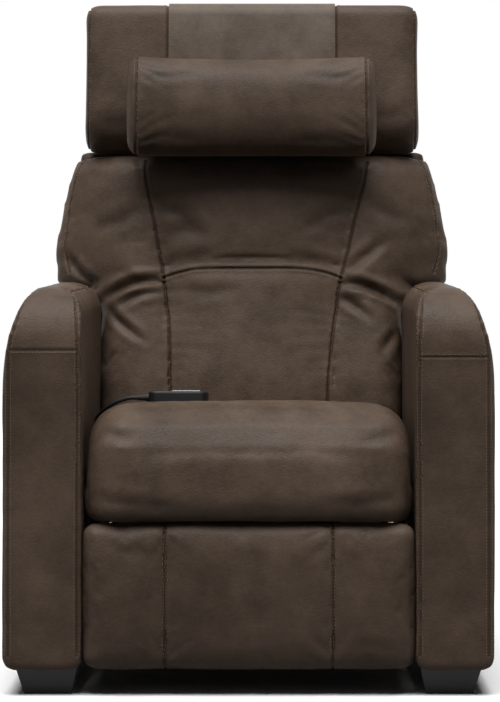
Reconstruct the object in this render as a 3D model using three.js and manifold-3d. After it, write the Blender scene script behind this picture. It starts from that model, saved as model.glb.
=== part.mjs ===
// A powered cinema recliner seat in leather. Two padded arms stand on four feet and carry a steel
// base. Parallel lift links swing the seat forwards while the back leans, a double parallelogram
// pushes out the footrest, the headrest tilts, and its pillow hangs on a strap and counterweight.
// A corded handset lies on the seat.
// Millimetres, Z up. The sitter faces -Y; left and right are as seen from the front.
import * as THREE from "three";
import { mergeVertices } from "three/addons/utils/BufferGeometryUtils.js";
import Module from "manifold-3d";

const wasm = await Module();
wasm.setup();

// Driving dimensions
const seatBay = 540; // clear width between the arms
const armWidth = 125;
const armHeight = 656;
const armDepth = 590;
const chairWidth = seatBay + 2 * armWidth;
const footHeight = 43;
const seatFrontBottom = 279;
const seatBreadth = 532;
const backLean = THREE.MathUtils.degToRad(13);
const seatSlope = THREE.MathUtils.degToRad(3.5);

// Clearances
const seated = 0.3; // faces that touch
const running = 0.4; // a pin in its hole
const openRunning = 1; // the pin that closes a linkage
const overrun = 5; // how far a cut runs past the face it opens

// Fineness of the facets
const roundSteps = 12; // round a pin, a hole or a boss
const tubeSteps = 16;
const bendSteps = 6; // round a quarter of a padded edge

// Side-plane pivots of the lift linkage, as [y, z]
const liftSetback = 100; // of the rear links from the arms' rear
const liftFrontFoot = [180, 110];
const liftRearFoot = [armDepth - liftSetback, liftFrontFoot[1]];
const liftLength = 150;
const liftRest = THREE.MathUtils.degToRad(22); // rearward of upright

// Side-plane pivots of the footrest linkage
const drivePivot = [165, 215];
const driveLength = 150;
const driveRest = THREE.MathUtils.degToRad(165);
const crossSpan = 70; // between the two seat pivots, along the upper link
const tailLength = 60; // of the front link past its crossing
const padPivot = [62, 250];

const backSetback = 10; // of the back's pivot behind the arms
const backPivot = [armDepth + backSetback, 300];

// Layers of the flat links, counted inwards from the arm
const linkThickness = 6;
const plateThickness = 5;
const railThickness = 4;
const layerGap = 1;
const railOuter = seatBay / 2 - seated;
const layers = layerPlaces();

// How far from the middle each layer lies.
function layerPlaces() {
  const rail = railOuter - railThickness / 2;
  const lift = rail - railThickness / 2 - layerGap - linkThickness / 2;
  const plate = lift - linkThickness / 2 - layerGap - plateThickness / 2;
  const drive = plate - plateThickness / 2 - layerGap - linkThickness / 2;
  const upper = drive - layerGap - linkThickness;
  return { rail, lift, plate, drive, upper, inside: drive - linkThickness / 2 - seated };
}

// Paints and coverings
const leather = { color: 0x44362d, roughness: 0.55, metalness: 0 };
const leatherLight = { color: 0x52423a, roughness: 0.55, metalness: 0 };
const blackPlastic = { color: 0x1b1b1c, roughness: 0.45, metalness: 0 };
const satinSilver = { color: 0xb9bcbf, roughness: 0.35, metalness: 0.6 };
const blackSteel = { color: 0x2b2c2e, roughness: 0.5, metalness: 0.7 };
const zincSteel = { color: 0x9a9c9d, roughness: 0.4, metalness: 0.9 };
const timber = { color: 0xb48d5c, roughness: 0.75, metalness: 0 };
const rubber = { color: 0x1a1a1a, roughness: 0.8, metalness: 0 };

// Solids

function solid(geometry) {
  const bare = geometry.clone();
  bare.deleteAttribute("normal");
  bare.deleteAttribute("uv");
  const merged = mergeVertices(bare);
  return new wasm.Manifold(
    new wasm.Mesh({
      numProp: 3,
      vertProperties: merged.attributes.position.array,
      triVerts: new Uint32Array(merged.index.array),
    }),
  );
}

function geometryOf(made) {
  const mesh = made.getMesh();
  const geometry = new THREE.BufferGeometry();
  geometry.setAttribute("position", new THREE.BufferAttribute(mesh.vertProperties, 3));
  geometry.setIndex(new THREE.BufferAttribute(mesh.triVerts, 1));
  const faceted = geometry.toNonIndexed();
  faceted.computeVertexNormals();
  return faceted;
}

function join(...geometries) {
  return geometryOf(geometries.map(solid).reduce((whole, piece) => whole.add(piece)));
}

function cut(geometry, ...tools) {
  return geometryOf(tools.map(solid).reduce((whole, tool) => whole.subtract(tool), solid(geometry)));
}

function mirrored(geometry) {
  return geometryOf(solid(geometry).mirror([1, 0, 0]));
}

function common(one, other) {
  return geometryOf(solid(one).intersect(solid(other)));
}

function mesh(name, geometry, finish) {
  const made = new THREE.Mesh(geometry, new THREE.MeshStandardMaterial(finish));
  made.name = name;
  return made;
}

// Places in the side plane

// The point a length away from another, at an angle that is rearward of straight up.
function reach([y, z], length, angle) {
  return [y + length * Math.sin(angle), z + length * Math.cos(angle)];
}

function between([y0, z0], [y1, z1]) {
  return { length: Math.hypot(y1 - y0, z1 - z0), angle: Math.atan2(y1 - y0, z1 - z0) };
}

function lerp(low, high, share) {
  return low + (high - low) * share;
}

// How far a rounded edge has fallen at a distance in from its rim.
function edgeFall(distance, radius) {
  const past = Math.max(0, radius - distance);
  return radius - Math.sqrt(Math.max(0, radius * radius - past * past));
}

// Shapes

// Turns a shape drawn in [y, z] and extruded along its own depth to lie across the chair.
function acrossX(geometry, thickness) {
  const turn = new THREE.Matrix4().makeBasis(
    new THREE.Vector3(0, 1, 0),
    new THREE.Vector3(0, 0, 1),
    new THREE.Vector3(1, 0, 0),
  );
  return geometry.applyMatrix4(turn).translate(-thickness / 2, 0, 0);
}

// Turns a shape drawn in [x, z] and extruded along its own depth to face the front.
function acrossY(geometry, thickness) {
  const turn = new THREE.Matrix4().makeBasis(
    new THREE.Vector3(1, 0, 0),
    new THREE.Vector3(0, 0, 1),
    new THREE.Vector3(0, -1, 0),
  );
  return geometry.applyMatrix4(turn).translate(0, thickness / 2, 0);
}

// The outline stretched tight round some bosses, each [y, z, radius].
function stretched(bosses) {
  const points = bosses.flatMap(([y, z, radius]) =>
    Array.from({ length: tubeSteps }, (_, step) => {
      const turn = (step / tubeSteps) * 2 * Math.PI;
      return [y + radius * Math.cos(turn), z + radius * Math.sin(turn)];
    }),
  );
  points.sort((p, q) => p[0] - q[0] || p[1] - q[1]);
  const turns = (o, p, q) => (p[0] - o[0]) * (q[1] - o[1]) - (p[1] - o[1]) * (q[0] - o[0]);
  const chain = (list) => {
    const kept = [];
    for (const point of list) {
      while (kept.length > 1 && turns(kept.at(-2), kept.at(-1), point) <= 0) kept.pop();
      kept.push(point);
    }
    return kept.slice(0, -1);
  };
  const outline = [...chain(points), ...chain(points.reverse())];
  return outline.map(([y, z]) => new THREE.Vector2(y, z));
}

// A flat plate in the side plane, with round holes, each [y, z, radius].
function sidePlate(bosses, thickness, holes = []) {
  const shape = new THREE.Shape(stretched(bosses));
  for (const [y, z, radius] of holes) {
    const hole = new THREE.Path();
    hole.absarc(y, z, radius / Math.cos(Math.PI / roundSteps), 0, 2 * Math.PI, true);
    shape.holes.push(hole);
  }
  const flat = new THREE.ExtrudeGeometry(shape, {
    depth: thickness,
    bevelEnabled: false,
    curveSegments: roundSteps / 2,
  });
  return acrossX(flat, thickness);
}

// An upright outline with mirrored sides, from places [half width, height] that run upwards.
function mirroredOutline(places) {
  const right = places.map(([half, height]) => new THREE.Vector2(half, height));
  const left = places.map(([half, height]) => new THREE.Vector2(-half, height)).reverse();
  return new THREE.Shape([...right, ...left]);
}

// A round bar or tube along X from one place to another.
function crossBar([y, z], radius, from, to, steps = roundSteps) {
  const bar = new THREE.CylinderGeometry(radius, radius, Math.abs(to - from), steps);
  return bar.rotateZ(Math.PI / 2).translate((from + to) / 2, y, z);
}

function box(width, depth, height, x, y, z) {
  return new THREE.BoxGeometry(width, depth, height).translate(x, y, z);
}

// A closed form through stations along X, each a ring of points that runs anticlockwise in [y, z].
function loft(stationShares, ringCount, pointAt) {
  const rings = stationShares.map((share) =>
    Array.from({ length: ringCount }, (_, place) => pointAt(share, place)),
  );
  const positions = rings.flat().flatMap((point) => point.toArray());
  const index = [];
  for (let ring = 0; ring + 1 < rings.length; ring++) {
    for (let place = 0; place < ringCount; place++) {
      const a = ring * ringCount + place;
      const b = ring * ringCount + ((place + 1) % ringCount);
      index.push(a, b, a + ringCount, b, b + ringCount, a + ringCount);
    }
  }
  const last = (rings.length - 1) * ringCount;
  const flat = (ring) => ring.map((point) => new THREE.Vector2(point.y, point.z));
  for (const [a, b, c] of THREE.ShapeUtils.triangulateShape(flat(rings[0]), [])) {
    index.push(a, c, b);
  }
  for (const [a, b, c] of THREE.ShapeUtils.triangulateShape(flat(rings.at(-1)), [])) {
    index.push(last + a, last + b, last + c);
  }
  const geometry = new THREE.BufferGeometry();
  geometry.setAttribute("position", new THREE.Float32BufferAttribute(positions, 3));
  geometry.setIndex(index);
  geometry.computeVertexNormals();
  return geometry;
}

// A closed block of columns, layers and rows whose points are set by a shaping function.
function gridForm(columns, layerCount, rows, place) {
  const block = new THREE.BoxGeometry(
    columns,
    layerCount,
    rows,
    columns,
    layerCount,
    rows,
  ).translate(columns / 2, layerCount / 2, rows / 2);
  const position = block.attributes.position;
  for (let i = 0; i < position.count; i++) {
    const column = Math.round(position.getX(i));
    const layer = Math.round(position.getY(i));
    const row = Math.round(position.getZ(i));
    position.setXYZ(i, ...place(column, layer, row));
  }
  block.computeVertexNormals();
  return block;
}

// Mirrors a list of shares that runs from the middle out, so that it runs from side to side.
function bothSides(middleOutShares) {
  const out = middleOutShares.filter((share) => share > 0);
  return [...out.map((share) => -share).reverse(), 0, ...out];
}

// Adds a piece on the right and its mirror on the left.
function pair(parent, name, geometry, finish, x = 0, [y, z] = [0, 0], angle = 0) {
  for (const [side, sign] of [["left", -1], ["right", 1]]) {
    const piece = mesh(`${name}_${side}`, geometry, finish);
    piece.position.set(sign * x, y, z);
    piece.rotation.x = -angle;
    piece.scale.x = sign;
    parent.add(piece);
  }
}

// Linkage points worked out from the pivots
const liftRearTop = reach(liftRearFoot, liftLength, liftRest);
const liftFrontTop = reach(liftFrontFoot, liftLength, liftRest);
const driveEnd = reach(drivePivot, driveLength, driveRest);
const upper = between(driveEnd, padPivot);
const frontPivot = reach(drivePivot, crossSpan, upper.angle);
const crossing = reach(frontPivot, driveLength, driveRest);
const frontEnd = reach(crossing, tailLength, driveRest);
const lowerPadPivot = reach(padPivot, tailLength, driveRest);

// Links

const pin = { radius: 5, collar: 9, sunk: 2 };
const linkWidth = 22;
const holeRadius = pin.radius + running;
const openHoleRadius = pin.radius + openRunning;

// A riveted pin with its spacing collar, standing inwards off a face through the next layer.
function stud(place, face, through) {
  return [
    crossBar(place, pin.collar, face + pin.sunk, face - layerGap + seated),
    crossBar(place, pin.radius, face + pin.sunk, face - layerGap - through),
  ];
}

// A link from the origin straight up, with holes and inward pins at some heights.
function link(length, holes, pins, through = linkThickness) {
  const ends = [[0, 0, linkWidth / 2], [0, length, linkWidth / 2]];
  const drilled = holes.map(([height, radius]) => [0, height, radius]);
  const plate = sidePlate(ends, linkThickness, drilled);
  const studs = pins.flatMap((height) => stud([0, height], -linkThickness / 2, through));
  return studs.length ? join(plate, ...studs) : plate;
}

// Arms

const arm = {
  frontRadius: 100,
  rearRadius: 54,
  innerRadiusShare: 0.39, // of the arm's width, as is the next
  shoulderShare: 0.5,
  shoulderHeight: 170,
  footRadius: 17,
  padding: 14,
  panel: 18,
  member: 34,
  arcSteps: 8,
};

// The arm seen from the side, drawn from the rear of its foot round by the front.
function armSide(inset, bottom) {
  const front = inset;
  const rear = armDepth - inset;
  const top = armHeight - inset;
  const frontRadius = arm.frontRadius - inset;
  const rearRadius = arm.rearRadius - inset;
  const shape = new THREE.Shape();
  shape.moveTo(rear, bottom);
  shape.lineTo(front, bottom);
  shape.absarc(front + frontRadius, top - frontRadius, frontRadius, Math.PI, Math.PI / 2, true);
  shape.absarc(rear - rearRadius, top - rearRadius, rearRadius, Math.PI / 2, 0, true);
  return shape;
}

// The right arm seen from the front, drawn from its outer foot corner round by the seat.
function armFront(inset, bottom) {
  const inner = seatBay / 2 + inset;
  const outer = seatBay / 2 + armWidth - inset;
  const top = armHeight - inset;
  const corner = arm.innerRadiusShare * armWidth - inset;
  const wide = arm.shoulderShare * armWidth - inset;
  const high = arm.shoulderHeight - inset;
  const foot = Math.max(0, arm.footRadius - inset);
  const shape = new THREE.Shape();
  shape.moveTo(outer - foot, bottom);
  shape.lineTo(inner + foot, bottom);
  if (foot > 0) shape.absarc(inner + foot, bottom + foot, foot, -Math.PI / 2, -Math.PI, true);
  shape.absarc(inner + corner, top - corner, corner, Math.PI, Math.PI / 2, true);
  shape.absellipse(outer - wide, top - high, wide, high, Math.PI / 2, 0, true, 0);
  if (foot > 0) shape.absarc(outer - foot, bottom + foot, foot, 0, -Math.PI / 2, true);
  return shape;
}

// The arm's rounded body: its side view and its front view cut out of each other.
function armBody(inset, bottom) {
  const fine = { bevelEnabled: false, curveSegments: arm.arcSteps };
  const side = new THREE.ExtrudeGeometry(armSide(inset, bottom), { depth: chairWidth, ...fine });
  const front = new THREE.ExtrudeGeometry(armFront(inset, bottom), { depth: 2 * armDepth, ...fine });
  return common(acrossX(side, 0), acrossY(front, 2 * armDepth).translate(0, armDepth / 2, 0));
}

function armCover() {
  return cut(armBody(0, footHeight), armBody(arm.padding, footHeight - overrun));
}

// The timber inside an arm: a panel towards the seat, with members round its rim.
function armFrame() {
  const inset = arm.padding + seated;
  const whole = armBody(inset, footHeight + seated);
  const side = armSide(inset + arm.member, footHeight + arm.member);
  const pocket = new THREE.ExtrudeGeometry(side, {
    depth: armWidth,
    bevelEnabled: false,
    curveSegments: arm.arcSteps,
  });
  return cut(whole, acrossX(pocket, 0).translate(seatBay / 2 + inset + arm.panel, 0, 0));
}

// Feet

const foot = { inward: 8, width: 98, depth: 84, innerTaper: 9, outerTaper: 13, frontTaper: 9, fromEnd: 26 };

// A foot tapers to its sole, more on its outer side.
function footBlock() {
  const height = footHeight - seated;
  const block = box(foot.width, foot.depth, height, foot.width / 2, foot.depth / 2, height / 2);
  const position = block.attributes.position;
  for (let i = 0; i < position.count; i++) {
    if (position.getZ(i) > height / 2) continue;
    const inner = position.getX(i) < foot.width / 2;
    const front = position.getY(i) < foot.depth / 2;
    position.setX(i, inner ? foot.innerTaper : foot.width - foot.outerTaper);
    position.setY(i, front ? foot.frontTaper : foot.depth - foot.frontTaper);
  }
  return block;
}

// Base of the mechanism, bolted between the arms

const base = {
  tubeRadius: 14,
  tubeHeight: 64,
  frontTube: 280,
  rearTubeSetback: 22,
  railBoss: 18,
  boltRadius: 8,
  boltHead: 5,
  boltFaces: 6,
};
const rearTubePlace = armDepth - base.rearTubeSetback;

function baseRail() {
  const bosses = [
    [...liftFrontFoot, base.railBoss],
    [...liftRearFoot, base.railBoss],
    [liftFrontFoot[0], base.tubeHeight, base.railBoss],
    [rearTubePlace, base.tubeHeight, base.railBoss],
  ];
  const inner = -railThickness / 2;
  const studs = [liftFrontFoot, liftRearFoot].flatMap((place) => stud(place, inner, linkThickness));
  const boltHeight = (liftFrontFoot[1] + base.tubeHeight) / 2;
  const bolts = [liftFrontFoot[0] + 2 * base.railBoss, liftRearFoot[0] - 2 * base.railBoss].map((y) =>
    crossBar([y, boltHeight], base.boltRadius, 0, inner - base.boltHead, base.boltFaces),
  );
  return join(sidePlate(bosses, railThickness), ...studs, ...bolts);
}

function crossTube(place, radius, halfLength) {
  return crossBar(place, radius, -halfLength, halfLength, tubeSteps);
}

// Linear drives. A motor pushes a block along a track, and the block's slotted yoke holds the pin
// of a crank arm, so that the crank turns with the block.

const crank = { radius: 38, root: 17, tip: 7, thickness: 6 };
const yoke = { wall: 6, gap: 1.4, slack: 1.9, relief: 1.5, floor: 2.5, width: 34, rim: 4 };
const track = { width: 26, height: 12, saddleWall: 6 };
const motor = { radius: 22, length: 84, housingDepth: 46, housingWidth: 50 };
const reclineSide = -90;
const footrestSide = 90;
const footrestTurn = THREE.MathUtils.degToRad(95);

// A tube that turns about the origin, with the crank arm that hangs from it.
function crankedTube(radius, halfLength, side) {
  const bosses = [[0, 0, crank.root], [0, -crank.radius, crank.tip]];
  const plate = sidePlate(bosses, crank.thickness);
  const pinEnd = crank.thickness / 2 + yoke.gap + yoke.wall;
  const hanging = join(plate, crossBar([0, -crank.radius], pin.radius, 0, pinEnd));
  return join(crossTube([0, 0], radius, halfLength), hanging.translate(side, 0, 0));
}

// The height of a track under the crank that turns at a pivot.
function trackTop([, pivotHeight]) {
  const slotFoot = pivotHeight - crank.radius - pin.radius - yoke.relief;
  return slotFoot - yoke.floor - track.saddleWall - seated;
}

// The block's saddle wraps the track. The slot leaves the pin's rise, and the little that a
// crank's swing departs from a steady slide. Y is the crank pin's place at rest.
function driveBlock(pivot, swing) {
  const top = trackTop(pivot);
  const wallX = crank.thickness / 2 + yoke.gap + yoke.wall / 2;
  const low = pivot[1] - crank.radius - pin.radius - yoke.relief;
  const high = pivot[1] - crank.radius * Math.cos(swing) + pin.radius + yoke.relief;
  const slotWidth = 2 * (pin.radius + yoke.slack);
  const plateLow = top + seated;
  const plateHigh = high + yoke.rim;
  const plate = box(yoke.wall, yoke.width, plateHigh - plateLow, wallX, 0, (plateHigh + plateLow) / 2);
  const slot = box(yoke.wall + overrun, slotWidth, high - low, wallX, 0, (high + low) / 2);
  const saddleHigh = plateLow + track.saddleWall;
  const saddleLow = top - track.height;
  const saddleWidth = track.width + 2 * (seated + track.saddleWall);
  const saddle = box(saddleWidth, yoke.width, saddleHigh - saddleLow, 0, 0, (saddleHigh + saddleLow) / 2);
  const grooveHeight = plateLow - saddleLow + overrun;
  const groove = box(
    track.width + 2 * seated,
    yoke.width + overrun,
    grooveHeight,
    0,
    0,
    plateLow - grooveHeight / 2,
  );
  return cut(join(saddle, plate), groove, slot);
}

// The recline drive lies between the base tubes, its motor upright at the front.
function reclineDrive() {
  const top = trackTop(liftRearFoot);
  const front = base.frontTube + base.tubeRadius + seated;
  const rear = rearTubePlace - base.tubeRadius - seated;
  const rail = box(track.width, rear - front, track.height, 0, (front + rear) / 2, top - track.height / 2);
  const holdHigh = base.tubeHeight + track.height / 2;
  const holdLow = top - track.height;
  const hold = box(
    track.width,
    track.height,
    holdHigh - holdLow,
    0,
    rear - track.height / 2,
    (holdHigh + holdLow) / 2,
  );
  const housingHigh = holdHigh + track.height;
  const housing = box(
    motor.housingWidth,
    motor.housingDepth,
    housingHigh - holdLow,
    0,
    front + motor.housingDepth / 2,
    (housingHigh + holdLow) / 2,
  );
  const can = new THREE.CylinderGeometry(motor.radius, motor.radius, motor.length, tubeSteps);
  const canHeight = housingHigh + motor.length / 2 - overrun;
  can.rotateX(Math.PI / 2).translate(0, front + motor.housingDepth / 2, canHeight);
  return join(rail, hold, housing, can);
}

// The footrest drive hangs under the seat, from its cross tube and its front rail.
function footrestDrive() {
  const top = trackTop(drivePivot);
  const low = top - track.height;
  const front = onDeck(rail.front, 0)[0];
  const rear = seatCross.place[0] + motor.housingDepth / 2;
  const bar = box(track.width, rear - front, track.height, 0, (front + rear) / 2, (top + low) / 2);
  const hangerTop = onDeck(rail.front + seatPlate.flangeThickness, 0)[1];
  const hanger = box(
    track.width,
    seatPlate.flangeThickness,
    hangerTop - low,
    0,
    front + seatPlate.flangeThickness / 2,
    (hangerTop + low) / 2,
  );
  const housingHigh = seatCross.place[1] - seatCross.radius - seated;
  const housing = box(
    motor.housingWidth,
    motor.housingDepth,
    housingHigh - low,
    0,
    seatCross.place[0],
    (housingHigh + low) / 2,
  );
  const canEnd = -motor.housingWidth / 2 - motor.length;
  const can = crossBar([seatCross.place[0], (housingHigh + low) / 2], motor.radius, canEnd, 0, tubeSteps);
  return join(bar, hanger, housing, can);
}

// Seat carriage

const seatPlate = { boss: 18, frontBoss: 12, lighten: 15, flange: 28, flangeThickness: 4 };
const plateWindowShares = [0.3, 0.5, 0.7];
const seatCross = { place: [430, 215], radius: 12, boss: 16 };
const rail = { front: 6, depth: 32, height: 24 };
const spring = { wire: 2, wireSides: 5, pitch: 40, swing: 20, spacing: 150, count: 3, steps: 4 };
const deck = { front: 91, flangeTop: 342, beforePivot: 59 };
deck.length = backPivot[0] - deck.front - deck.beforePivot;
const deckRise = seated + rail.height + seated + 2 * spring.wire + seated;

// A place in the side plane, from its distance along the sloping deck and above it.
function onDeck(along, above) {
  const y = deck.front + along * Math.cos(seatSlope) + above * Math.sin(seatSlope);
  const z = deck.flangeTop - along * Math.sin(seatSlope) + above * Math.cos(seatSlope);
  return [y, z];
}

// A side plate of the seat: a long web under the deck and an arm up to the back's pivot.
function seatPlateForm() {
  const rim = seatPlate.flangeThickness;
  const web = [
    [...frontPivot, seatPlate.frontBoss],
    [...drivePivot, seatPlate.boss],
    [...liftFrontTop, seatPlate.boss],
    [...seatCross.place, seatCross.boss],
    [...liftRearTop, seatPlate.boss],
    [...onDeck(2 * rim, -rim), rim],
    [...onDeck(deck.length - rim, -rim), rim],
  ];
  const backArm = [seatCross.place, liftRearTop, backPivot].map((place) => [...place, seatPlate.boss]);
  const windows = plateWindowShares.map((share) => [
    lerp(liftFrontTop[0], liftRearTop[0], share),
    liftRearTop[1] + seatPlate.boss,
    seatPlate.lighten,
  ]);
  const holes = [[...liftFrontTop, openHoleRadius], [...liftRearTop, holeRadius], ...windows];
  const studs = [drivePivot, frontPivot, backPivot].flatMap((place) =>
    stud(place, -plateThickness / 2, linkThickness),
  );
  const flangeDepth = deck.length - 2 * rim;
  const flangeX = (plateThickness - seatPlate.flange) / 2;
  const flange = box(seatPlate.flange, flangeDepth, rim, flangeX, deck.length / 2, -rim / 2);
  flange.rotateX(-seatSlope).translate(0, ...onDeck(0, 0));
  const drills = holes.map(([y, z, radius]) =>
    crossBar([y, z], radius / Math.cos(Math.PI / roundSteps), -plateThickness, plateThickness),
  );
  const plates = join(sidePlate(web, plateThickness), sidePlate(backArm, plateThickness));
  return join(cut(plates, ...drills), ...studs, flange);
}

// A timber rail across the deck, in the deck's own slope.
function deckRail(along) {
  const half = layers.plate + plateThickness / 2;
  return box(2 * half, rail.depth, rail.height, 0, along + rail.depth / 2, seated + rail.height / 2);
}

// Round wire or cord along a smooth path.
function wireAlong(points, radius, sides, steps) {
  const section = new THREE.Shape(
    Array.from({ length: sides }, (_, side) => {
      const turn = (side / sides) * 2 * Math.PI;
      return new THREE.Vector2(radius * Math.cos(turn), radius * Math.sin(turn));
    }),
  );
  const path = new THREE.CatmullRomCurve3(points, false, "centripetal");
  return new THREE.ExtrudeGeometry(section, { steps, extrudePath: path, bevelEnabled: false });
}

// A sinuous spring: wire bent to and fro between the rails.
function sinuousSpring() {
  const from = rail.front + rail.depth / 2;
  const to = deck.length - rail.depth / 2;
  const bends = Math.round((to - from) / spring.pitch);
  const height = deckRise - seated - spring.wire;
  const points = Array.from({ length: bends * spring.steps + 1 }, (_, step) => {
    const swing = spring.swing * Math.sin((step / spring.steps) * Math.PI);
    return new THREE.Vector3(swing, lerp(from, to, step / (bends * spring.steps)), height);
  });
  return wireAlong(points, spring.wire, spring.wireSides, bends * spring.steps);
}

// Seat cushion: a padded deck that bends down over the front rail

const cushion = {
  bend: 55,
  half: 48,
  crown: 7,
  sideRadius: 56,
  underRadius: 12,
  noseRadius: 26,
  noseCorner: 24,
  rearRadius: 30,
  rearCorner: 58,
  drawIn: 6,
  beforeRear: 40,
};
cushion.length = deck.length - cushion.beforeRear;

const cushionStationShares = bothSides([0, 0.25, 0.48, 0.66, 0.79, 0.87, 0.93, 0.97, 0.99, 1]);
const nosePathShares = [0, 0.008, 0.03, 0.07, 0.14, 0.18, 0.22, 0.26, 0.3];
const deckPathShares = [0.36, 0.5, 0.65, 0.8, 0.91, 0.96, 0.99, 1];
const cushionPathShares = [...nosePathShares, ...deckPathShares];
const drawnSharpness = 9; // how near its rim a side starts to draw in
const cushionLine = seatMiddleLine();

// The middle of the cushion's thickness, from the foot of its nose back along the deck.
function seatMiddleLine() {
  const sweep = Math.PI / 2 + seatSlope;
  const arcHeight = deckRise + cushion.half - cushion.bend;
  const [, arcFoot] = onDeck(-cushion.bend * Math.sin(sweep), arcHeight + cushion.bend * Math.cos(sweep));
  const nose = arcFoot - seatFrontBottom;
  const arcLength = cushion.bend * sweep;
  const whole = nose + arcLength + cushion.length;
  const pointAt = (distance) => {
    const turned = THREE.MathUtils.clamp((distance - nose) / cushion.bend, 0, sweep);
    const out = [-Math.sin(sweep - turned), Math.cos(sweep - turned)];
    const down = Math.max(0, nose - distance);
    const along = Math.max(0, distance - nose - arcLength);
    const y = cushion.bend * out[0] + down * Math.cos(sweep) + along;
    const z = arcHeight + cushion.bend * out[1] - down * Math.sin(sweep);
    return { y, z, out };
  };
  return { whole, pointAt, nose, arcLength };
}

// How far the cushion's upper face stands off its middle line.
function cushionUpper(share, pathShare, fromSide, fromEnd, endRadius) {
  const fall = edgeFall(fromSide, cushion.sideRadius) + edgeFall(fromEnd, endRadius);
  const swell = cushion.crown * (1 - share * share) * Math.sin(Math.PI * pathShare);
  return cushion.half - cushion.crown + swell - Math.min(fall, cushion.sideRadius);
}

function seatCushion() {
  const count = cushionPathShares.length;
  const half = seatBreadth / 2;
  return loft(cushionStationShares, 2 * count, (share, place) => {
    const onTop = place < count;
    const pathShare = cushionPathShares[onTop ? count - 1 - place : place - count];
    const fromSide = half * (1 - Math.abs(share));
    const start = edgeFall(fromSide, cushion.noseCorner);
    const end = cushionLine.whole - edgeFall(fromSide, cushion.rearCorner);
    const distance = lerp(start, end, pathShare);
    const fromEnd = Math.min(distance - start, end - distance);
    const endRadius = pathShare < 1 / 2 ? cushion.noseRadius : cushion.rearRadius;
    const under = edgeFall(fromSide, cushion.underRadius) + edgeFall(fromEnd, cushion.underRadius);
    const off = onTop
      ? cushionUpper(share, pathShare, fromSide, fromEnd, endRadius)
      : Math.min(under, cushion.underRadius) - cushion.half;
    const middle = cushionLine.pointAt(distance);
    const drawn = cushion.drawIn * Math.sin(Math.PI * pathShare) ** 2 * Math.abs(share) ** drawnSharpness;
    const x = share * (half - drawn);
    return new THREE.Vector3(x, middle.y + middle.out[0] * off, middle.z + middle.out[1] * off);
  });
}

// The height of the seat over the deck, at a place on its flat stretch.
function seatTop(x, along) {
  const half = seatBreadth / 2;
  const distance = cushionLine.nose + cushionLine.arcLength + along;
  const pathShare = distance / cushionLine.whole;
  const fromRear = cushionLine.whole - distance;
  const upper = cushionUpper(x / half, pathShare, half - Math.abs(x), fromRear, cushion.rearRadius);
  return deckRise + cushion.half + upper;
}

// Footrest

const footPad = {
  bottom: 45,
  top: 275,
  front: -5,
  behindPivot: 14,
  crown: 6,
  edge: 22,
  rearEdge: 8,
  side: 20,
  breadth: 534,
  channel: 135,
  channelDepth: 8,
  channelHalf: 7,
  drawIn: 4,
  faceShare: 0.3, // of the depth that counts as its front
};
const leastRadius = 1; // that a rounded edge keeps where it has drawn in
const footBoard = { thickness: 12, rim: 16 };
const footBracket = { boss: 12, foot: 5.5, lower: 120 };
const padRear = padPivot[0] - footPad.behindPivot;

// The ring of a pad seen from the side: upright faces with rounded edges, from its lower rear.
function padRing(front, rear, low, high, frontRadius, rearRadius, crown) {
  const arc = (y, z, radius, from) =>
    Array.from({ length: bendSteps }, (_, step) => {
      const turn = from + (step / (bendSteps - 1)) * (Math.PI / 2);
      return [y + radius * Math.cos(turn), z + radius * Math.sin(turn)];
    });
  const faceShares = [0.2, 0.5, 0.8];
  const face = faceShares.map((share) => [
    front - crown * Math.sin(Math.PI * share),
    lerp(high - frontRadius, low + frontRadius, share),
  ]);
  return [
    ...arc(rear - rearRadius, low + rearRadius, rearRadius, -Math.PI / 2),
    ...arc(rear - rearRadius, high - rearRadius, rearRadius, 0),
    ...arc(front + frontRadius, high - frontRadius, frontRadius, Math.PI / 2),
    ...face,
    ...arc(front + frontRadius, low + frontRadius, frontRadius, Math.PI),
  ];
}

function padStationShares() {
  const half = footPad.breadth / 2;
  const channel = footPad.channel / half;
  const lip = footPad.channelHalf / half;
  const innerShares = [0, 0.35, 0.7];
  const outerShares = [0.35, 0.7, 0.86, 0.94, 0.98, 1];
  return bothSides([
    ...innerShares.map((share) => share * channel),
    channel - lip,
    channel,
    channel + lip,
    ...outerShares.map((share) => lerp(channel + lip, 1, share)),
  ]);
}

function footrestPad() {
  const half = footPad.breadth / 2;
  const ringAt = (inset) => {
    const rearInset = Math.min(inset, footPad.rearEdge - leastRadius);
    return padRing(
      footPad.front + inset,
      padRear - rearInset,
      footPad.bottom + inset,
      footPad.top - inset,
      footPad.edge - inset,
      footPad.rearEdge - rearInset,
      footPad.crown,
    );
  };
  const count = ringAt(0).length;
  return loft(padStationShares(), count, (share, place) => {
    const inset = edgeFall(half * (1 - Math.abs(share)), footPad.side);
    const fromChannel = Math.abs(Math.abs(share * half) - footPad.channel);
    const dip = fromChannel < footPad.channelHalf / 2 ? footPad.channelDepth : 0;
    const [y, z] = ringAt(inset)[place];
    const onFront = y < lerp(footPad.front, padRear, footPad.faceShare);
    const level = (z - footPad.bottom) / (footPad.top - footPad.bottom);
    const drawn = footPad.drawIn * Math.sin(Math.PI * level) * Math.abs(share) ** drawnSharpness;
    return new THREE.Vector3(share * (half - drawn), onFront ? y + dip : y, z);
  });
}

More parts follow.
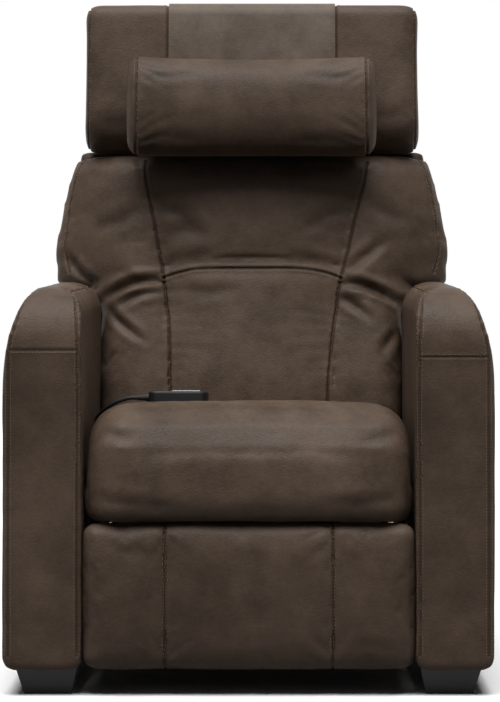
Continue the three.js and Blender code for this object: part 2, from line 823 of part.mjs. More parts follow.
// The board behind the pad, with the bracket ears that the links hold at its two edges. It is
// narrower at its top, where the ends of the upper links lie.
function footrestBoard() {
  const low = footPad.bottom + footBoard.rim;
  const high = footPad.top - footBoard.rim;
  const front = padRear + seated;
  const depth = footBoard.thickness;
  const notch = padPivot[1] - linkWidth;
  const narrow = layers.upper - linkThickness / 2 - openRunning;
  const shape = mirroredOutline([
    [layers.drive, low],
    [layers.drive, notch],
    [narrow, notch],
    [narrow, high],
  ]);
  const flat = new THREE.ExtrudeGeometry(shape, { depth, bevelEnabled: false });
  const board = acrossY(flat, depth).translate(0, front + depth / 2, 0);
  const edge = front + footBracket.foot;
  const bosses = [
    [...padPivot, footBracket.boss],
    [...lowerPadPivot, footBracket.boss],
    [edge, high - footBracket.foot, footBracket.foot],
    [edge, footBracket.lower, footBracket.foot],
  ];
  const inner = -linkThickness / 2;
  const studs = [padPivot, lowerPadPivot].flatMap((place) => stud(place, inner, linkThickness));
  const ear = join(sidePlate(bosses, linkThickness), ...studs).translate(layers.drive, 0, 0);
  return join(board, ear, mirrored(ear));
}

// Back, drawn upright about its pivot: Y runs to the rear and Z up the back

const back = {
  front: -20,
  boardThickness: 22,
  boardLow: 20,
  boardInset: 35,
  boardBelow: 7, // the cushion's top
  top: 592,
  cushionLow: 60,
  shellLow: -120,
  shellThickness: 40,
  shellEdge: 10,
  shellRise: 20, // above the cushion, behind the headrest
  shellHalf: 322,
  bracketTop: 200,
  bracketBoss: 12,
  seatHalf: 264,
  wingLow: 352,
  wingFull: 386,
  wingHalf: 347,
  topHalf: 315,
};
back.boardTop = back.top - back.boardBelow;
const cushionForm = {
  lumbar: -114,
  waist: -96,
  crest: -92,
  lumbarAt: 150,
  lumbarSpread: 120,
  wingFront: -48,
  edge: 34,
  topEdge: 52,
  seamTop: 208,
  seamMid: 158,
  seamLow: 140,
  archSide: 365,
  archRise: 20,
  lip: 8,
  groove: 12,
  puff: 10,
  sidePuff: 4,
  wingFromShare: 0.8, // of the seat's half width
};
// Columns from the middle out: up to the seam, the seam's lips, and on to the side.
const innerColumnShares = [0, 0.35, 0.72];
const outerColumnShares = [0.3, 0.6, 0.82, 0.95, 1];
const lipPlaces = 3;
const columnPlaces = innerColumnShares.length + lipPlaces - 1 + outerColumnShares.length;
const lowerRowShares = [0, 0.05, 0.16, 0.34, 0.56, 0.8];
const upperRowShares = [0.2, 0.45, 0.68, 0.85, 0.95, 1];

// Half the back's width at a height: narrow between the arms, widest at the wings.
function backHalf(height) {
  if (height < back.wingLow) return back.seatHalf;
  if (height < back.wingFull) {
    const share = (height - back.wingLow) / (back.wingFull - back.wingLow);
    return lerp(back.seatHalf, back.wingHalf, Math.sin((share * Math.PI) / 2));
  }
  return lerp(back.wingHalf, back.topHalf, (height - back.wingFull) / (back.top - back.wingFull));
}

// How far from the middle the sewn upright seam runs.
function seamHalf(height) {
  const { seamTop, seamMid, seamLow, archSide } = cushionForm;
  if (height > archSide) return lerp(seamMid, seamTop, (height - archSide) / (back.top - archSide));
  return lerp(seamLow, seamMid, (height - back.cushionLow) / (archSide - back.cushionLow));
}

// The distance from the middle of a column, at a height.
function columnPlace(column, height) {
  const place = Math.abs(column - columnPlaces);
  const seam = seamHalf(height);
  const sign = Math.sign(column - columnPlaces);
  const inner = innerColumnShares.length;
  if (place < inner) return sign * innerColumnShares[place] * seam;
  if (place < inner + lipPlaces) return sign * (seam + (place - inner - 1) * cushionForm.lip);
  const share = outerColumnShares[place - inner - lipPlaces];
  return sign * lerp(seam + cushionForm.lip, backHalf(height), share);
}

// The height of a row, where the arched seam crosses at a share of the width.
function rowHeight(row, archShare) {
  const arch = cushionForm.archSide + cushionForm.archRise * (1 - archShare * archShare);
  const lower = lowerRowShares.length;
  if (row < lower) return lerp(back.cushionLow, arch - cushionForm.lip, lowerRowShares[row]);
  if (row < lower + lipPlaces) return arch + (row - lower - 1) * cushionForm.lip;
  return lerp(arch + cushionForm.lip, back.top, upperRowShares[row - lower - lipPlaces]);
}

// The cushion's front face, measured from the pivot line.
function cushionFront(x, height, grooveShare) {
  const { lumbar, waist, crest, lumbarAt, lumbarSpread, edge, topEdge, puff, sidePuff, groove } = cushionForm;
  const bulge = Math.exp(-(((height - lumbarAt) / lumbarSpread) ** 2));
  const plain = lerp(lerp(waist, crest, height / back.top), lumbar, bulge);
  const half = backHalf(height);
  const seam = seamHalf(height);
  const from = Math.abs(x);
  const middle = puff * (1 - (x / seam) ** 2);
  const side = sidePuff * Math.sin((Math.PI * (half - from)) / (half - seam));
  const wingFrom = cushionForm.wingFromShare * back.seatHalf;
  const wing = THREE.MathUtils.clamp((from - wingFrom) / (back.wingHalf - wingFrom), 0, 1);
  const swept = height > back.wingLow ? lerp(plain, cushionForm.wingFront, wing) : plain;
  const fall = edgeFall(half - from, edge) + edgeFall(back.top - height, topEdge);
  const foot = edgeFall(height - back.cushionLow, edge);
  return swept - (from < seam ? middle : side) + groove * grooveShare + Math.min(fall + foot, topEdge);
}

function backCushion() {
  const columns = 2 * columnPlaces;
  const rows = lowerRowShares.length + lipPlaces + upperRowShares.length - 1;
  const seamColumn = innerColumnShares.length + 1;
  const seamRow = lowerRowShares.length + 1;
  return gridForm(columns, 2, rows, (column, layer, row) => {
    const place = Math.abs(column - columnPlaces);
    const archShare = Math.min(1, place / seamColumn);
    const height = rowHeight(row, archShare);
    const x = columnPlace(column, height);
    const onSeam = place === seamColumn || (row === seamRow && place < seamColumn);
    const front = cushionFront(x, height, onSeam ? 1 : 0);
    const rear = back.front - seated;
    return [x, lerp(front, rear, layer / 2), height];
  });
}

function backBoard() {
  const half = layers.inside;
  const shape = mirroredOutline([
    [half, back.boardLow],
    [half, back.wingLow],
    [back.wingHalf - back.boardInset, back.wingFull],
    [back.topHalf - back.boardInset, back.boardTop],
  ]);
  const board = new THREE.ExtrudeGeometry(shape, { depth: back.boardThickness, bevelEnabled: false });
  return acrossY(board, back.boardThickness).translate(0, back.front + back.boardThickness / 2, 0);
}

// The leather-covered shell that closes the back.
function backShell() {
  const edge = back.shellEdge;
  const low = back.bracketTop + back.bracketBoss + edge;
  const narrow = layers.inside - edge;
  const shape = mirroredOutline([
    [narrow - edge, back.shellLow],
    [narrow, back.shellLow + edge],
    [narrow, low],
    [back.shellHalf - edge, low + edge],
    [back.wingHalf - edge, back.wingFull + edge],
    [back.topHalf - edge, back.top + back.shellRise - edge],
  ]);
  const shell = new THREE.ExtrudeGeometry(shape, {
    depth: back.shellThickness - 2 * edge,
    bevelThickness: edge,
    bevelSize: edge,
    bevelSegments: 3,
  });
  const front = back.front + back.boardThickness + seated;
  return acrossY(shell, back.shellThickness - 2 * edge).translate(0, front + back.shellThickness / 2, 0);
}

function backBracket() {
  const bosses = [[0, 0, seatPlate.boss], [back.front + back.bracketBoss, back.bracketTop, back.bracketBoss]];
  return sidePlate(bosses, linkThickness, [[0, 0, holeRadius]]);
}

// Headrest, drawn about its hinge

const headrest = {
  radius: 62.5,
  top: 207,
  half: 304,
  cornerRadius: 26,
  sideRadius: 24,
  bulge: 3,
  bulgeFrom: 0.52,
  gap: 4,
  drawIn: 3,
};
const hinge = {
  rod: 6,
  rodHalf: 55,
  blade: 12,
  boss: 13,
  root: 8,
  plate: 90,
  plateRise: 12,
  slotPlay: 1.5,
};
const headrestStationShares = bothSides([0, 0.52, 0.62, 0.78, 0.9, 0.945, 0.975, 0.993, 1]);

// The headrest seen from the side: a half round foot about the hinge and a padded front.
function headrestProfile(inset, bulge = 0) {
  const { radius, top, cornerRadius } = headrest;
  const arc = (y, z, r, from, to, steps) =>
    Array.from({ length: steps + 1 }, (_, step) => {
      const turn = lerp(from, to, step / steps);
      return [y + r * Math.cos(turn), z + r * Math.sin(turn)];
    });
  const reachIn = radius - cornerRadius;
  const rise = top - cornerRadius;
  const corner = cornerRadius - inset;
  const faceShares = [0.05, 0.2, 0.4, 0.6, 0.8, 0.93];
  const rear = faceShares.map((share) => [radius - inset, rise * share]);
  const front = faceShares
    .map((share) => [inset - radius - bulge * Math.sin(Math.PI * share), rise * share])
    .reverse();
  return [
    ...arc(0, 0, radius - inset, Math.PI, 2 * Math.PI, 2 * bendSteps),
    ...rear,
    ...arc(reachIn, rise, corner, 0, Math.PI / 2, bendSteps - 1),
    ...arc(-reachIn, rise, corner, Math.PI / 2, Math.PI, bendSteps - 1),
    ...front,
  ];
}

function headrestCushion() {
  const count = headrestProfile(0).length;
  const padded = loft(headrestStationShares, count, (share, place) => {
    const inset = edgeFall(headrest.half * (1 - Math.abs(share)), headrest.sideRadius);
    const beside = Math.max(0, (Math.abs(share) - headrest.bulgeFrom) / (1 - headrest.bulgeFrom));
    const [y, z] = headrestProfile(inset, headrest.bulge * Math.sin(Math.PI * beside))[place];
    const level = (z + headrest.radius) / (headrest.top + headrest.radius);
    const drawn = headrest.drawIn * Math.sin(Math.PI * level) * Math.abs(share) ** drawnSharpness;
    return new THREE.Vector3(share * (headrest.half - drawn), y, z);
  });
  const room = hinge.boss + hinge.slotPlay;
  const slotFront = -room;
  const slotRear = headrest.radius + overrun;
  const slotLow = -headrest.radius - overrun;
  const slot = box(
    hinge.blade + 2 * hinge.slotPlay,
    slotRear - slotFront,
    room - slotLow,
    0,
    (slotRear + slotFront) / 2,
    (room + slotLow) / 2,
  );
  const boreRadius = (hinge.rod + running) / Math.cos(Math.PI / roundSteps);
  const boreHalf = hinge.rodHalf + seated;
  return cut(padded, slot, crossBar([0, 0], boreRadius, -boreHalf, boreHalf));
}

// The hinge: a rod on a blade whose foot stands on the back board. Drawn about the rod.
function headrestHinge() {
  const footLow = back.boardTop + seated - headrestPlace[1];
  const footHigh = footLow + hinge.plateRise;
  const footFront = back.front - headrestPlace[0];
  const footRear = footFront + back.boardThickness;
  const middle = (footFront + footRear) / 2;
  const plate = box(hinge.plate, footRear - footFront, hinge.plateRise, 0, middle, (footLow + footHigh) / 2);
  const bosses = [[0, 0, hinge.boss], [middle, footLow + hinge.root, hinge.root]];
  const rod = crossBar([0, 0], hinge.rod, -hinge.rodHalf, hinge.rodHalf);
  return join(sidePlate(bosses, hinge.blade), plate, rod);
}

const headrestPlace = [-42.5, back.top + headrest.gap + headrest.radius];

// Pillow, strap and counterweight

const strap = { half: 152, thickness: 3, gap: 0.4, frontLow: 5, rearLow: 55 };
const pillow = {
  half: 222,
  halfDepth: 47,
  halfHeight: 91,
  middle: -4,
  dip: 7,
  end: 24,
  squareness: 2.5,
  steps: 24,
};
const pouch = { half: 150, depth: 20, low: 46, high: 166, edge: 9, side: 9 };
const pouchStationShares = bothSides([0, 0.94, 0.97, 0.99, 1]);
const pillowStationShares = bothSides([0, 0.3, 0.6, 0.8, 0.9, 0.95, 0.985, 1]);

// A strap of leather over the top of the headrest, its tails behind the pillow and the pouch.
function pillowStrap() {
  const held = ([y, z]) => z >= (y < 0 ? strap.frontLow : strap.rearLow);
  const inner = headrestProfile(-strap.gap).filter(held);
  const outer = headrestProfile(-strap.gap - strap.thickness).filter(held);
  const ring = [...outer, ...inner.reverse()];
  return loft([-1, 1], ring.length, (share, place) => new THREE.Vector3(share * strap.half, ...ring[place]));
}

// A bolster whose upper edge dips in the middle and whose ends draw in.
function headPillow() {
  const rear = -headrest.radius - strap.gap - strap.thickness - seated;
  return loft(pillowStationShares, pillow.steps, (share, place) => {
    const inset = edgeFall(pillow.half * (1 - Math.abs(share)), pillow.end);
    const turn = (place / pillow.steps) * 2 * Math.PI;
    const round = (value) => Math.sign(value) * Math.abs(value) ** (2 / pillow.squareness);
    const depth = (pillow.halfDepth - inset) * round(Math.cos(turn));
    const dip = Math.sin(turn) > 0 ? pillow.dip * (1 - share * share) * Math.sin(turn) : 0;
    const rise = (pillow.halfHeight - inset) * round(Math.sin(turn)) - dip;
    return new THREE.Vector3(share * pillow.half, rear - pillow.halfDepth + depth, pillow.middle + rise);
  });
}

// The weighted pouch on the strap's rear tail.
function counterweight() {
  const front = headrest.radius + strap.gap + strap.thickness + seated;
  const ringAt = (inset) => {
    const edge = pouch.edge - inset;
    const rear = front + pouch.depth - inset;
    return padRing(front + inset, rear, pouch.low + inset, pouch.high - inset, edge, edge, 0);
  };
  return loft(pouchStationShares, ringAt(0).length, (share, place) => {
    const fall = edgeFall(pouch.half * (1 - Math.abs(share)), pouch.side);
    const inset = Math.min(fall, pouch.edge - leastRadius);
    return new THREE.Vector3(share * pouch.half, ...ringAt(inset)[place]);
  });
}

// Handset, drawn flat with its cord end towards -X

const handset = {
  length: 100,
  width: 46,
  height: 22,
  corner: 14,
  edge: 4,
  x: -122,
  along: 212,
  turn: THREE.MathUtils.degToRad(-8),
};
const keypad = { length: 56, width: 32, thickness: 1.2, corner: 6, offset: 14 };
const button = { radius: 5.5, spacingX: 22, spacingY: 15, proud: 1.2, travel: 1 };
const boot = { flange: 6.5, flangeLength: 5, root: 5.4, tip: 4.4, length: 16 };
const cordRadius = 3.5;
const cordSides = 8;
const cordSteps = 32;
const gland = { radius: 8, height: 26, nut: 10, nutHeight: 7, nutFaces: 6, inward: 24, behind: 6 };

function roundedRectangle(length, width, corner) {
  const shape = new THREE.Shape();
  const x = length / 2 - corner;
  const y = width / 2 - corner;
  shape.absarc(x, -y, corner, -Math.PI / 2, 0, false);
  shape.absarc(x, y, corner, 0, Math.PI / 2, false);
  shape.absarc(-x, y, corner, Math.PI / 2, Math.PI, false);
  shape.absarc(-x, -y, corner, Math.PI, 1.5 * Math.PI, false);
  return shape;
}

function buttonPlaces() {
  const places = [];
  for (const [row, ySign] of [["upper", 1], ["lower", -1]]) {
    for (const [end, xSign] of [["front", -1], ["rear", 1]]) {
      const x = keypad.offset + (xSign * button.spacingX) / 2;
      places.push({ name: `${row}_${end}`, x, y: (ySign * button.spacingY) / 2 });
    }
  }
  return places;
}

function buttonWell(place, depth) {
  const radius = (button.radius + seated) / Math.cos(Math.PI / roundSteps);
  const well = new THREE.CylinderGeometry(radius, radius, depth, roundSteps);
  return well.rotateX(Math.PI / 2).translate(place.x, place.y, 0);
}

const wellDepth = button.travel + seated + 2 * button.proud;

function handsetBody() {
  const { length, width, height, corner, edge } = handset;
  const shape = roundedRectangle(length - 2 * edge, width - 2 * edge, corner - edge);
  const block = new THREE.ExtrudeGeometry(shape, {
    depth: height - 2 * edge,
    bevelThickness: edge,
    bevelSize: edge,
    bevelSegments: 3,
    curveSegments: 4,
  });
  block.translate(0, 0, edge);
  const wells = buttonPlaces().map((place) =>
    buttonWell(place, 2 * wellDepth).translate(0, 0, height),
  );
  return cut(block, ...wells);
}

function keypadPlate() {
  const shape = roundedRectangle(keypad.length, keypad.width, keypad.corner);
  const plate = new THREE.ExtrudeGeometry(shape, {
    depth: keypad.thickness,
    bevelEnabled: false,
    curveSegments: 4,
  });
  plate.translate(keypad.offset, 0, handset.height + seated);
  const wells = buttonPlaces().map((place) =>
    buttonWell(place, 4 * keypad.thickness).translate(0, 0, handset.height),
  );
  return cut(plate, ...wells);
}

function handsetButton() {
  const height = wellDepth - button.travel - seated + keypad.thickness + button.proud;
  const cap = new THREE.CylinderGeometry(button.radius, button.radius, height, roundSteps);
  const low = handset.height - wellDepth + button.travel + seated;
  return cap.rotateX(Math.PI / 2).translate(0, 0, low + height / 2);
}

// The strain relief: a flange against the handset and a taper down to the cord.
function cordBoot() {
  const { flange, flangeLength, root, tip, length } = boot;
  const profile = [
    [0, 0],
    [flange, 0],
    [flange, flangeLength],
    [root, flangeLength],
    [tip, flangeLength + length],
    [0, flangeLength + length],
  ].map(([radius, height]) => new THREE.Vector2(radius, height));
  const turned = new THREE.LatheGeometry(profile, roundSteps).rotateZ(Math.PI / 2);
  return turned.translate(-handset.length / 2 - seated, 0, handset.height / 2);
}

function cordGland() {
  const body = new THREE.CylinderGeometry(gland.radius, gland.radius, gland.height, roundSteps);
  const nut = new THREE.CylinderGeometry(gland.nut, gland.nut, gland.nutHeight, gland.nutFaces);
  body.translate(0, gland.height / 2, 0);
  nut.translate(0, gland.nutHeight / 2, 0);
  return join(body, nut).rotateX(Math.PI / 2);
}

// The cord's route from the strain relief over the cushion's edge, along the crevice beside the
// arm and down to the gland, in millimetres from the middle of the floor under the chair.
const cordRoute = [
  [-192.9, -85.2, 463.4],
  [-203.5, -83.7, 463.1],
  [-217, -81, 460],
  [-232.5, -76.5, 454],
  [-247, -68, 444],
  [-257.5, -54, 434],
  [-263.5, -36, 427],
  [-265.5, -14, 422],
  [-265.5, 10, 419],
  [-265.5, 33, 414.5],
  [-265.5, 54, 405],
  [-264.5, 71, 391],
  [-259, 83.5, 376],
  [-251.5, 89, 363],
  [-246.3, 90.4, 352],
  [-246, 89.87, 343.9],
].map((point) => new THREE.Vector3(...point));

function handsetCord() {
  return wireAlong(cordRoute, cordRadius, cordSides, cordSteps);
}

// Assembly

const originDepth = 406; // the middle of the whole depth, behind the arms' front
const chair = new THREE.Group();

function baseGroup() {
  const group = new THREE.Group();
  pair(group, "arm_cover", armCover(), leather);
  pair(group, "arm_frame", armFrame(), timber);
  const footX = seatBay / 2 + foot.inward;
  const footRear = armDepth - foot.fromEnd - foot.depth;
  pair(group, "foot_front", footBlock(), blackPlastic, footX, [foot.fromEnd, 0]);
  pair(group, "foot_rear", footBlock(), blackPlastic, footX, [footRear, 0]);
  pair(group, "base_rail", baseRail(), blackSteel, layers.rail);
  const tubeHalf = railOuter - railThickness - seated;
  const { tubeRadius, tubeHeight, frontTube } = base;
  group.add(mesh("base_front_tube", crossTube([frontTube, tubeHeight], tubeRadius, tubeHalf), blackSteel));
  group.add(mesh("base_rear_tube", crossTube([rearTubePlace, tubeHeight], tubeRadius, tubeHalf), blackSteel));
  const drive = mesh("recline_drive", reclineDrive(), blackPlastic);
  drive.position.x = reclineSide;
  group.add(drive);
  const block = mesh("recline_block", driveBlock(liftRearFoot, liftRest), zincSteel);
  block.position.set(reclineSide, liftRearFoot[0] - crank.radius * Math.sin(liftRest), 0);
  group.add(block);
  return group;
}

function liftGroup() {
  const group = new THREE.Group();
  const swinging = link(liftLength, [[0, holeRadius]], [liftLength], plateThickness);
  pair(group, "rear_lift_link", swinging, blackSteel, layers.lift, liftRearFoot, liftRest);
  pair(group, "front_lift_link", swinging, blackSteel, layers.lift, liftFrontFoot, liftRest);
  const halfLength = layers.lift - linkThickness / 2 - seated;
  const tube = mesh("lift_tube", crankedTube(base.tubeRadius, halfLength, reclineSide), blackSteel);
  tube.position.set(0, ...liftRearFoot);
  tube.rotation.x = -liftRest;
  group.add(tube);
  return group;
}

function deckGroup() {
  const group = new THREE.Group();
  group.position.set(0, ...onDeck(0, 0));
  group.rotation.x = -seatSlope;
  const exit = mesh("cord_gland", cordGland(), blackPlastic);
  exit.position.set(gland.inward - seatBay / 2, cushion.length - gland.behind, seated);
  group.add(exit);
  group.add(mesh("seat_front_rail", deckRail(rail.front), timber));
  group.add(mesh("seat_rear_rail", deckRail(deck.length - rail.depth), timber));
  for (let n = 0; n < spring.count; n++) {
    const wire = mesh(`seat_spring_${n + 1}`, sinuousSpring(), zincSteel);
    wire.position.x = (n - (spring.count - 1) / 2) * spring.spacing;
    group.add(wire);
  }
  group.add(mesh("seat_cushion", seatCushion(), leatherLight));
  return group;
}

function handsetGroup() {
  const group = new THREE.Group();
  const heights = [-1, 1].flatMap((end) =>
    [-1, 1].map((side) =>
      seatTop(handset.x + (end * handset.length) / 2, handset.along + (side * handset.width) / 2),
    ),
  );
  const rest = onDeck(handset.along, Math.max(...heights) + seated);
  group.position.set(handset.x, ...rest);
  group.rotation.set(-seatSlope, 0, handset.turn, "XYZ");
  group.add(mesh("handset_body", handsetBody(), blackPlastic));
  group.add(mesh("handset_keypad", keypadPlate(), satinSilver));
  for (const place of buttonPlaces()) {
    const cap = mesh(`button_${place.name}`, handsetButton(), rubber);
    cap.position.set(place.x, place.y, 0);
    group.add(cap);
  }
  group.add(mesh("handset_boot", cordBoot(), rubber));
  return group;
}

function seatGroup() {
  const group = new THREE.Group();
  pair(group, "seat_plate", seatPlateForm(), blackSteel, layers.plate);
  const crossHalf = layers.plate - plateThickness / 2 - seated;
  group.add(mesh("seat_cross_tube", crossTube(seatCross.place, seatCross.radius, crossHalf), blackSteel));
  const drive = mesh("footrest_drive", footrestDrive(), blackPlastic);
  drive.position.x = footrestSide;
  const block = mesh("footrest_block", driveBlock(drivePivot, footrestTurn / 2), zincSteel);
  block.position.set(footrestSide, drivePivot[0] + crank.radius * Math.sin(footrestTurn / 2), 0);
  const cord = mesh("handset_cord", handsetCord(), rubber);
  cord.position.y = originDepth;
  group.add(drive, block, deckGroup(), handsetGroup(), cord);
  return group;
}

function footrestGroup() {
  const group = new THREE.Group();
  const driving = link(driveLength, [[0, holeRadius]], [driveLength]);
  pair(group, "drive_link", driving, blackSteel, layers.drive, drivePivot, driveRest);
  const frontLength = driveLength + tailLength;
  const front = link(frontLength, [[0, holeRadius]], [driveLength, frontLength]);
  pair(group, "front_ottoman_link", front, blackSteel, layers.drive, frontPivot, driveRest);
  const upperHoles = [[0, holeRadius], [crossSpan, openHoleRadius], [upper.length, holeRadius]];
  const upperLink = link(upper.length, upperHoles, []);
  pair(group, "upper_ottoman_link", upperLink, blackSteel, layers.upper, driveEnd, upper.angle);
  const lower = between(frontEnd, lowerPadPivot);
  const lowerHoles = [[0, holeRadius], [lower.length, openHoleRadius]];
  const lowerLink = link(lower.length, lowerHoles, []);
  pair(group, "lower_ottoman_link", lowerLink, blackSteel, layers.upper, frontEnd, lower.angle);
  const tube = mesh("footrest_tube", crankedTube(base.tubeRadius, layers.inside, footrestSide), blackSteel);
  tube.position.set(0, ...drivePivot);
  tube.rotation.x = footrestTurn / 2;
  group.add(tube);
  group.add(mesh("footrest_board", footrestBoard(), timber));
  group.add(mesh("footrest_pad", footrestPad(), leather));
  return group;
}

function headGroup() {
  const group = new THREE.Group();
  group.position.set(0, ...headrestPlace);
  group.add(mesh("headrest_hinge", headrestHinge(), zincSteel));
  group.add(mesh("headrest_cushion", headrestCushion(), leather));
  group.add(mesh("pillow_strap", pillowStrap(), leatherLight));
  group.add(mesh("head_pillow", headPillow(), leatherLight));
  group.add(mesh("strap_counterweight", counterweight(), leather));
  return group;
}

function backGroup() {
  const group = new THREE.Group();
  group.position.set(0, ...backPivot);
  group.rotation.x = -backLean;
  pair(group, "back_bracket", backBracket(), blackSteel, layers.drive);
  group.add(mesh("back_board", backBoard(), timber));
  group.add(mesh("back_cushion", backCushion(), leather));
  group.add(mesh("back_shell", backShell(), leather));
  group.add(headGroup());
  return group;
}

chair.add(baseGroup(), liftGroup(), seatGroup(), footrestGroup(), backGroup());
chair.position.y = -originDepth;

export default chair;
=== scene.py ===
import math

import bmesh
import bpy
import numpy as np
from mathutils import Matrix, Vector, noise
from mathutils.bvhtree import BVHTree
from mathutils.kdtree import KDTree


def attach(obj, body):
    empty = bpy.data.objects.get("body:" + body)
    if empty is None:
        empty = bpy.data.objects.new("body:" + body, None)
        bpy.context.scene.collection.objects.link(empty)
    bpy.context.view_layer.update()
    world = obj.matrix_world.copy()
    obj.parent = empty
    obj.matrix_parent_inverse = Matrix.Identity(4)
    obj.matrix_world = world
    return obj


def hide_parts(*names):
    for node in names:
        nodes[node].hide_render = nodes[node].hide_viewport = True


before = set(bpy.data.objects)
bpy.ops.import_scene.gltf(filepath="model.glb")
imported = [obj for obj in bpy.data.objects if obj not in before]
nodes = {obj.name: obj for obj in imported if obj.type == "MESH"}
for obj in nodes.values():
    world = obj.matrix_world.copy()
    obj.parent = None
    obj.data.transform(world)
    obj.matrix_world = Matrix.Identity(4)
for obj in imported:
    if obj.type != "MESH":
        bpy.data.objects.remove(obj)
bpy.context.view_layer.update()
scene = bpy.context.scene


# Camera: a long lens five metres in front of the arms, level with their tops, a little to the
# right of the chair's middle. The shift alone frames the chair, so its uprights stay upright.

eye = (0.046, -5.406, 0.75)
lens = 159.7
frame_right = -0.0387
frame_up = -0.1724

camera_data = bpy.data.cameras.new("camera")
camera_data.lens = lens
camera_data.shift_x = frame_right
camera_data.shift_y = frame_up
camera = bpy.data.objects.new("camera", camera_data)
camera.location = eye
camera.rotation_euler = (math.pi / 2, 0, 0)
scene.collection.objects.link(camera)
scene.camera = camera
scene.view_settings.view_transform = "Standard"


# Studio: a plain pale floor and a white surround, which show at their own colour to the camera
# and in gloss. The light is a broad lamp overhead and a weak one from the front.


def put(tree, kind, sockets=(), **settings):
    """A shader node with its settings, and its sockets set or linked."""
    node = tree.nodes.new("ShaderNode" + kind)
    for name, value in settings.items():
        setattr(node, name, value)
    for name, value in dict(sockets).items():
        if isinstance(value, bpy.types.NodeSocket):
            tree.links.new(value, node.inputs[name])
        else:
            node.inputs[name].default_value = value
    return node


def colour(red, green, blue):
    """A colour given in screen values from 0 to 255."""
    parts = [part / 255 for part in (red, green, blue)]
    linear = [
        part / 12.92 if part <= 0.04045 else ((part + 0.055) / 1.055) ** 2.4 for part in parts
    ]
    return (*linear, 1)


def seen_directly(tree):
    """1 where a ray comes from the camera, a reflection or a clear piece, and 0 elsewhere."""
    ray = put(tree, "LightPath")
    camera_ray, gloss_ray = ray.outputs["Is Camera Ray"], ray.outputs["Is Glossy Ray"]
    either = put(tree, "Math", {0: camera_ray, 1: gloss_ray}, operation="MAXIMUM")
    clear_ray = ray.outputs["Is Transmission Ray"]
    return put(tree, "Math", {0: either.outputs[0], 1: clear_ray}, operation="MAXIMUM").outputs[0]


ambient = 0.02
surround = bpy.data.worlds.new("surround")
surround.use_nodes = True
sky = surround.node_tree
sky.nodes.clear()
direct = seen_directly(sky)
strength = put(sky, "MapRange", {"Value": direct, "To Min": ambient, "To Max": 1.0})
white = put(sky, "Background", {"Color": (1, 1, 1, 1), "Strength": strength.outputs[0]})
put(sky, "OutputWorld", {"Surface": white.outputs[0]})
scene.world = surround

floor_half = 9.0
floor_form = bmesh.new()
bmesh.ops.create_grid(floor_form, x_segments=1, y_segments=1, size=floor_half)
floor_mesh = bpy.data.meshes.new("floor")
floor_form.to_mesh(floor_mesh)
floor_form.free()
floor = bpy.data.objects.new("floor", floor_mesh)
scene.collection.objects.link(floor)
pale = bpy.data.materials.new("pale floor")
pale.use_nodes = True
ground = pale.node_tree
ground.nodes.clear()
cloudy = put(ground, "TexNoise", {"Scale": 3.0, "Detail": 2.0})
paleness = put(ground, "MapRange", {"Value": cloudy.outputs[0], "To Min": 0.9, "To Max": 0.94})
face = put(ground, "BsdfDiffuse", {"Color": paleness.outputs[0]})
dim = put(ground, "BsdfDiffuse", {"Color": (0.06, 0.06, 0.06, 1)})
mixed = put(ground, "MixShader", {0: seen_directly(ground), 1: dim.outputs[0], 2: face.outputs[0]})
put(ground, "OutputMaterial", {"Surface": mixed.outputs[0]})
floor_mesh.materials.append(pale)

for name, power, spread, tilt, turn in (
    ("overhead lamp", 5.2, 45, -17, -8),
    ("front lamp", 0.06, 90, -72, -25),
):
    lamp_data = bpy.data.lights.new(name, "SUN")
    lamp_data.energy = power
    lamp_data.angle = math.radians(spread)
    lamp = bpy.data.objects.new(name, lamp_data)
    lamp.rotation_euler = (math.radians(-tilt), 0, math.radians(turn))
    scene.collection.objects.link(lamp)


# Handset cord: a soft black lead 7 mm thick, moulded into the handset's boot. It lies over the
# seat's side and drops down the crevice by the arm into its gland on the seat plate.

cord_thick = 0.007
cord_route = (
    (-0.1929, -0.0852, 0.4634),
    (-0.2035, -0.0837, 0.4631),
    (-0.2170, -0.0810, 0.4600),
    (-0.2325, -0.0765, 0.4540),
    (-0.2470, -0.0680, 0.4440),
    (-0.2575, -0.0540, 0.4340),
    (-0.2635, -0.0360, 0.4270),
    (-0.2655, -0.0140, 0.4220),
    (-0.2655, 0.0100, 0.4190),
    (-0.2655, 0.0330, 0.4145),
    (-0.2655, 0.0540, 0.4050),
    (-0.2645, 0.0710, 0.3910),
    (-0.2590, 0.0835, 0.3760),
    (-0.2515, 0.0890, 0.3630),
    (-0.2463, 0.0904, 0.3520),
    (-0.2460, 0.0899, 0.3439),
)

lead = bpy.data.curves.new("handset_lead", "CURVE")
lead.dimensions = "3D"
lead.bevel_depth = cord_thick / 2
lead.bevel_resolution = 5
lead.resolution_u = 6
lead.use_fill_caps = True
run = lead.splines.new("BEZIER")
run.bezier_points.add(len(cord_route) - 1)
for point, place in zip(run.bezier_points, cord_route):
    point.co = place
    point.handle_left_type = point.handle_right_type = "AUTO"
handset_lead = bpy.data.objects.new("handset_lead", lead)
scene.collection.objects.link(handset_lead)


def put_material(piece, material):
    """Gives the piece its only material."""
    piece.data.materials.clear()
    piece.data.materials.append(material)


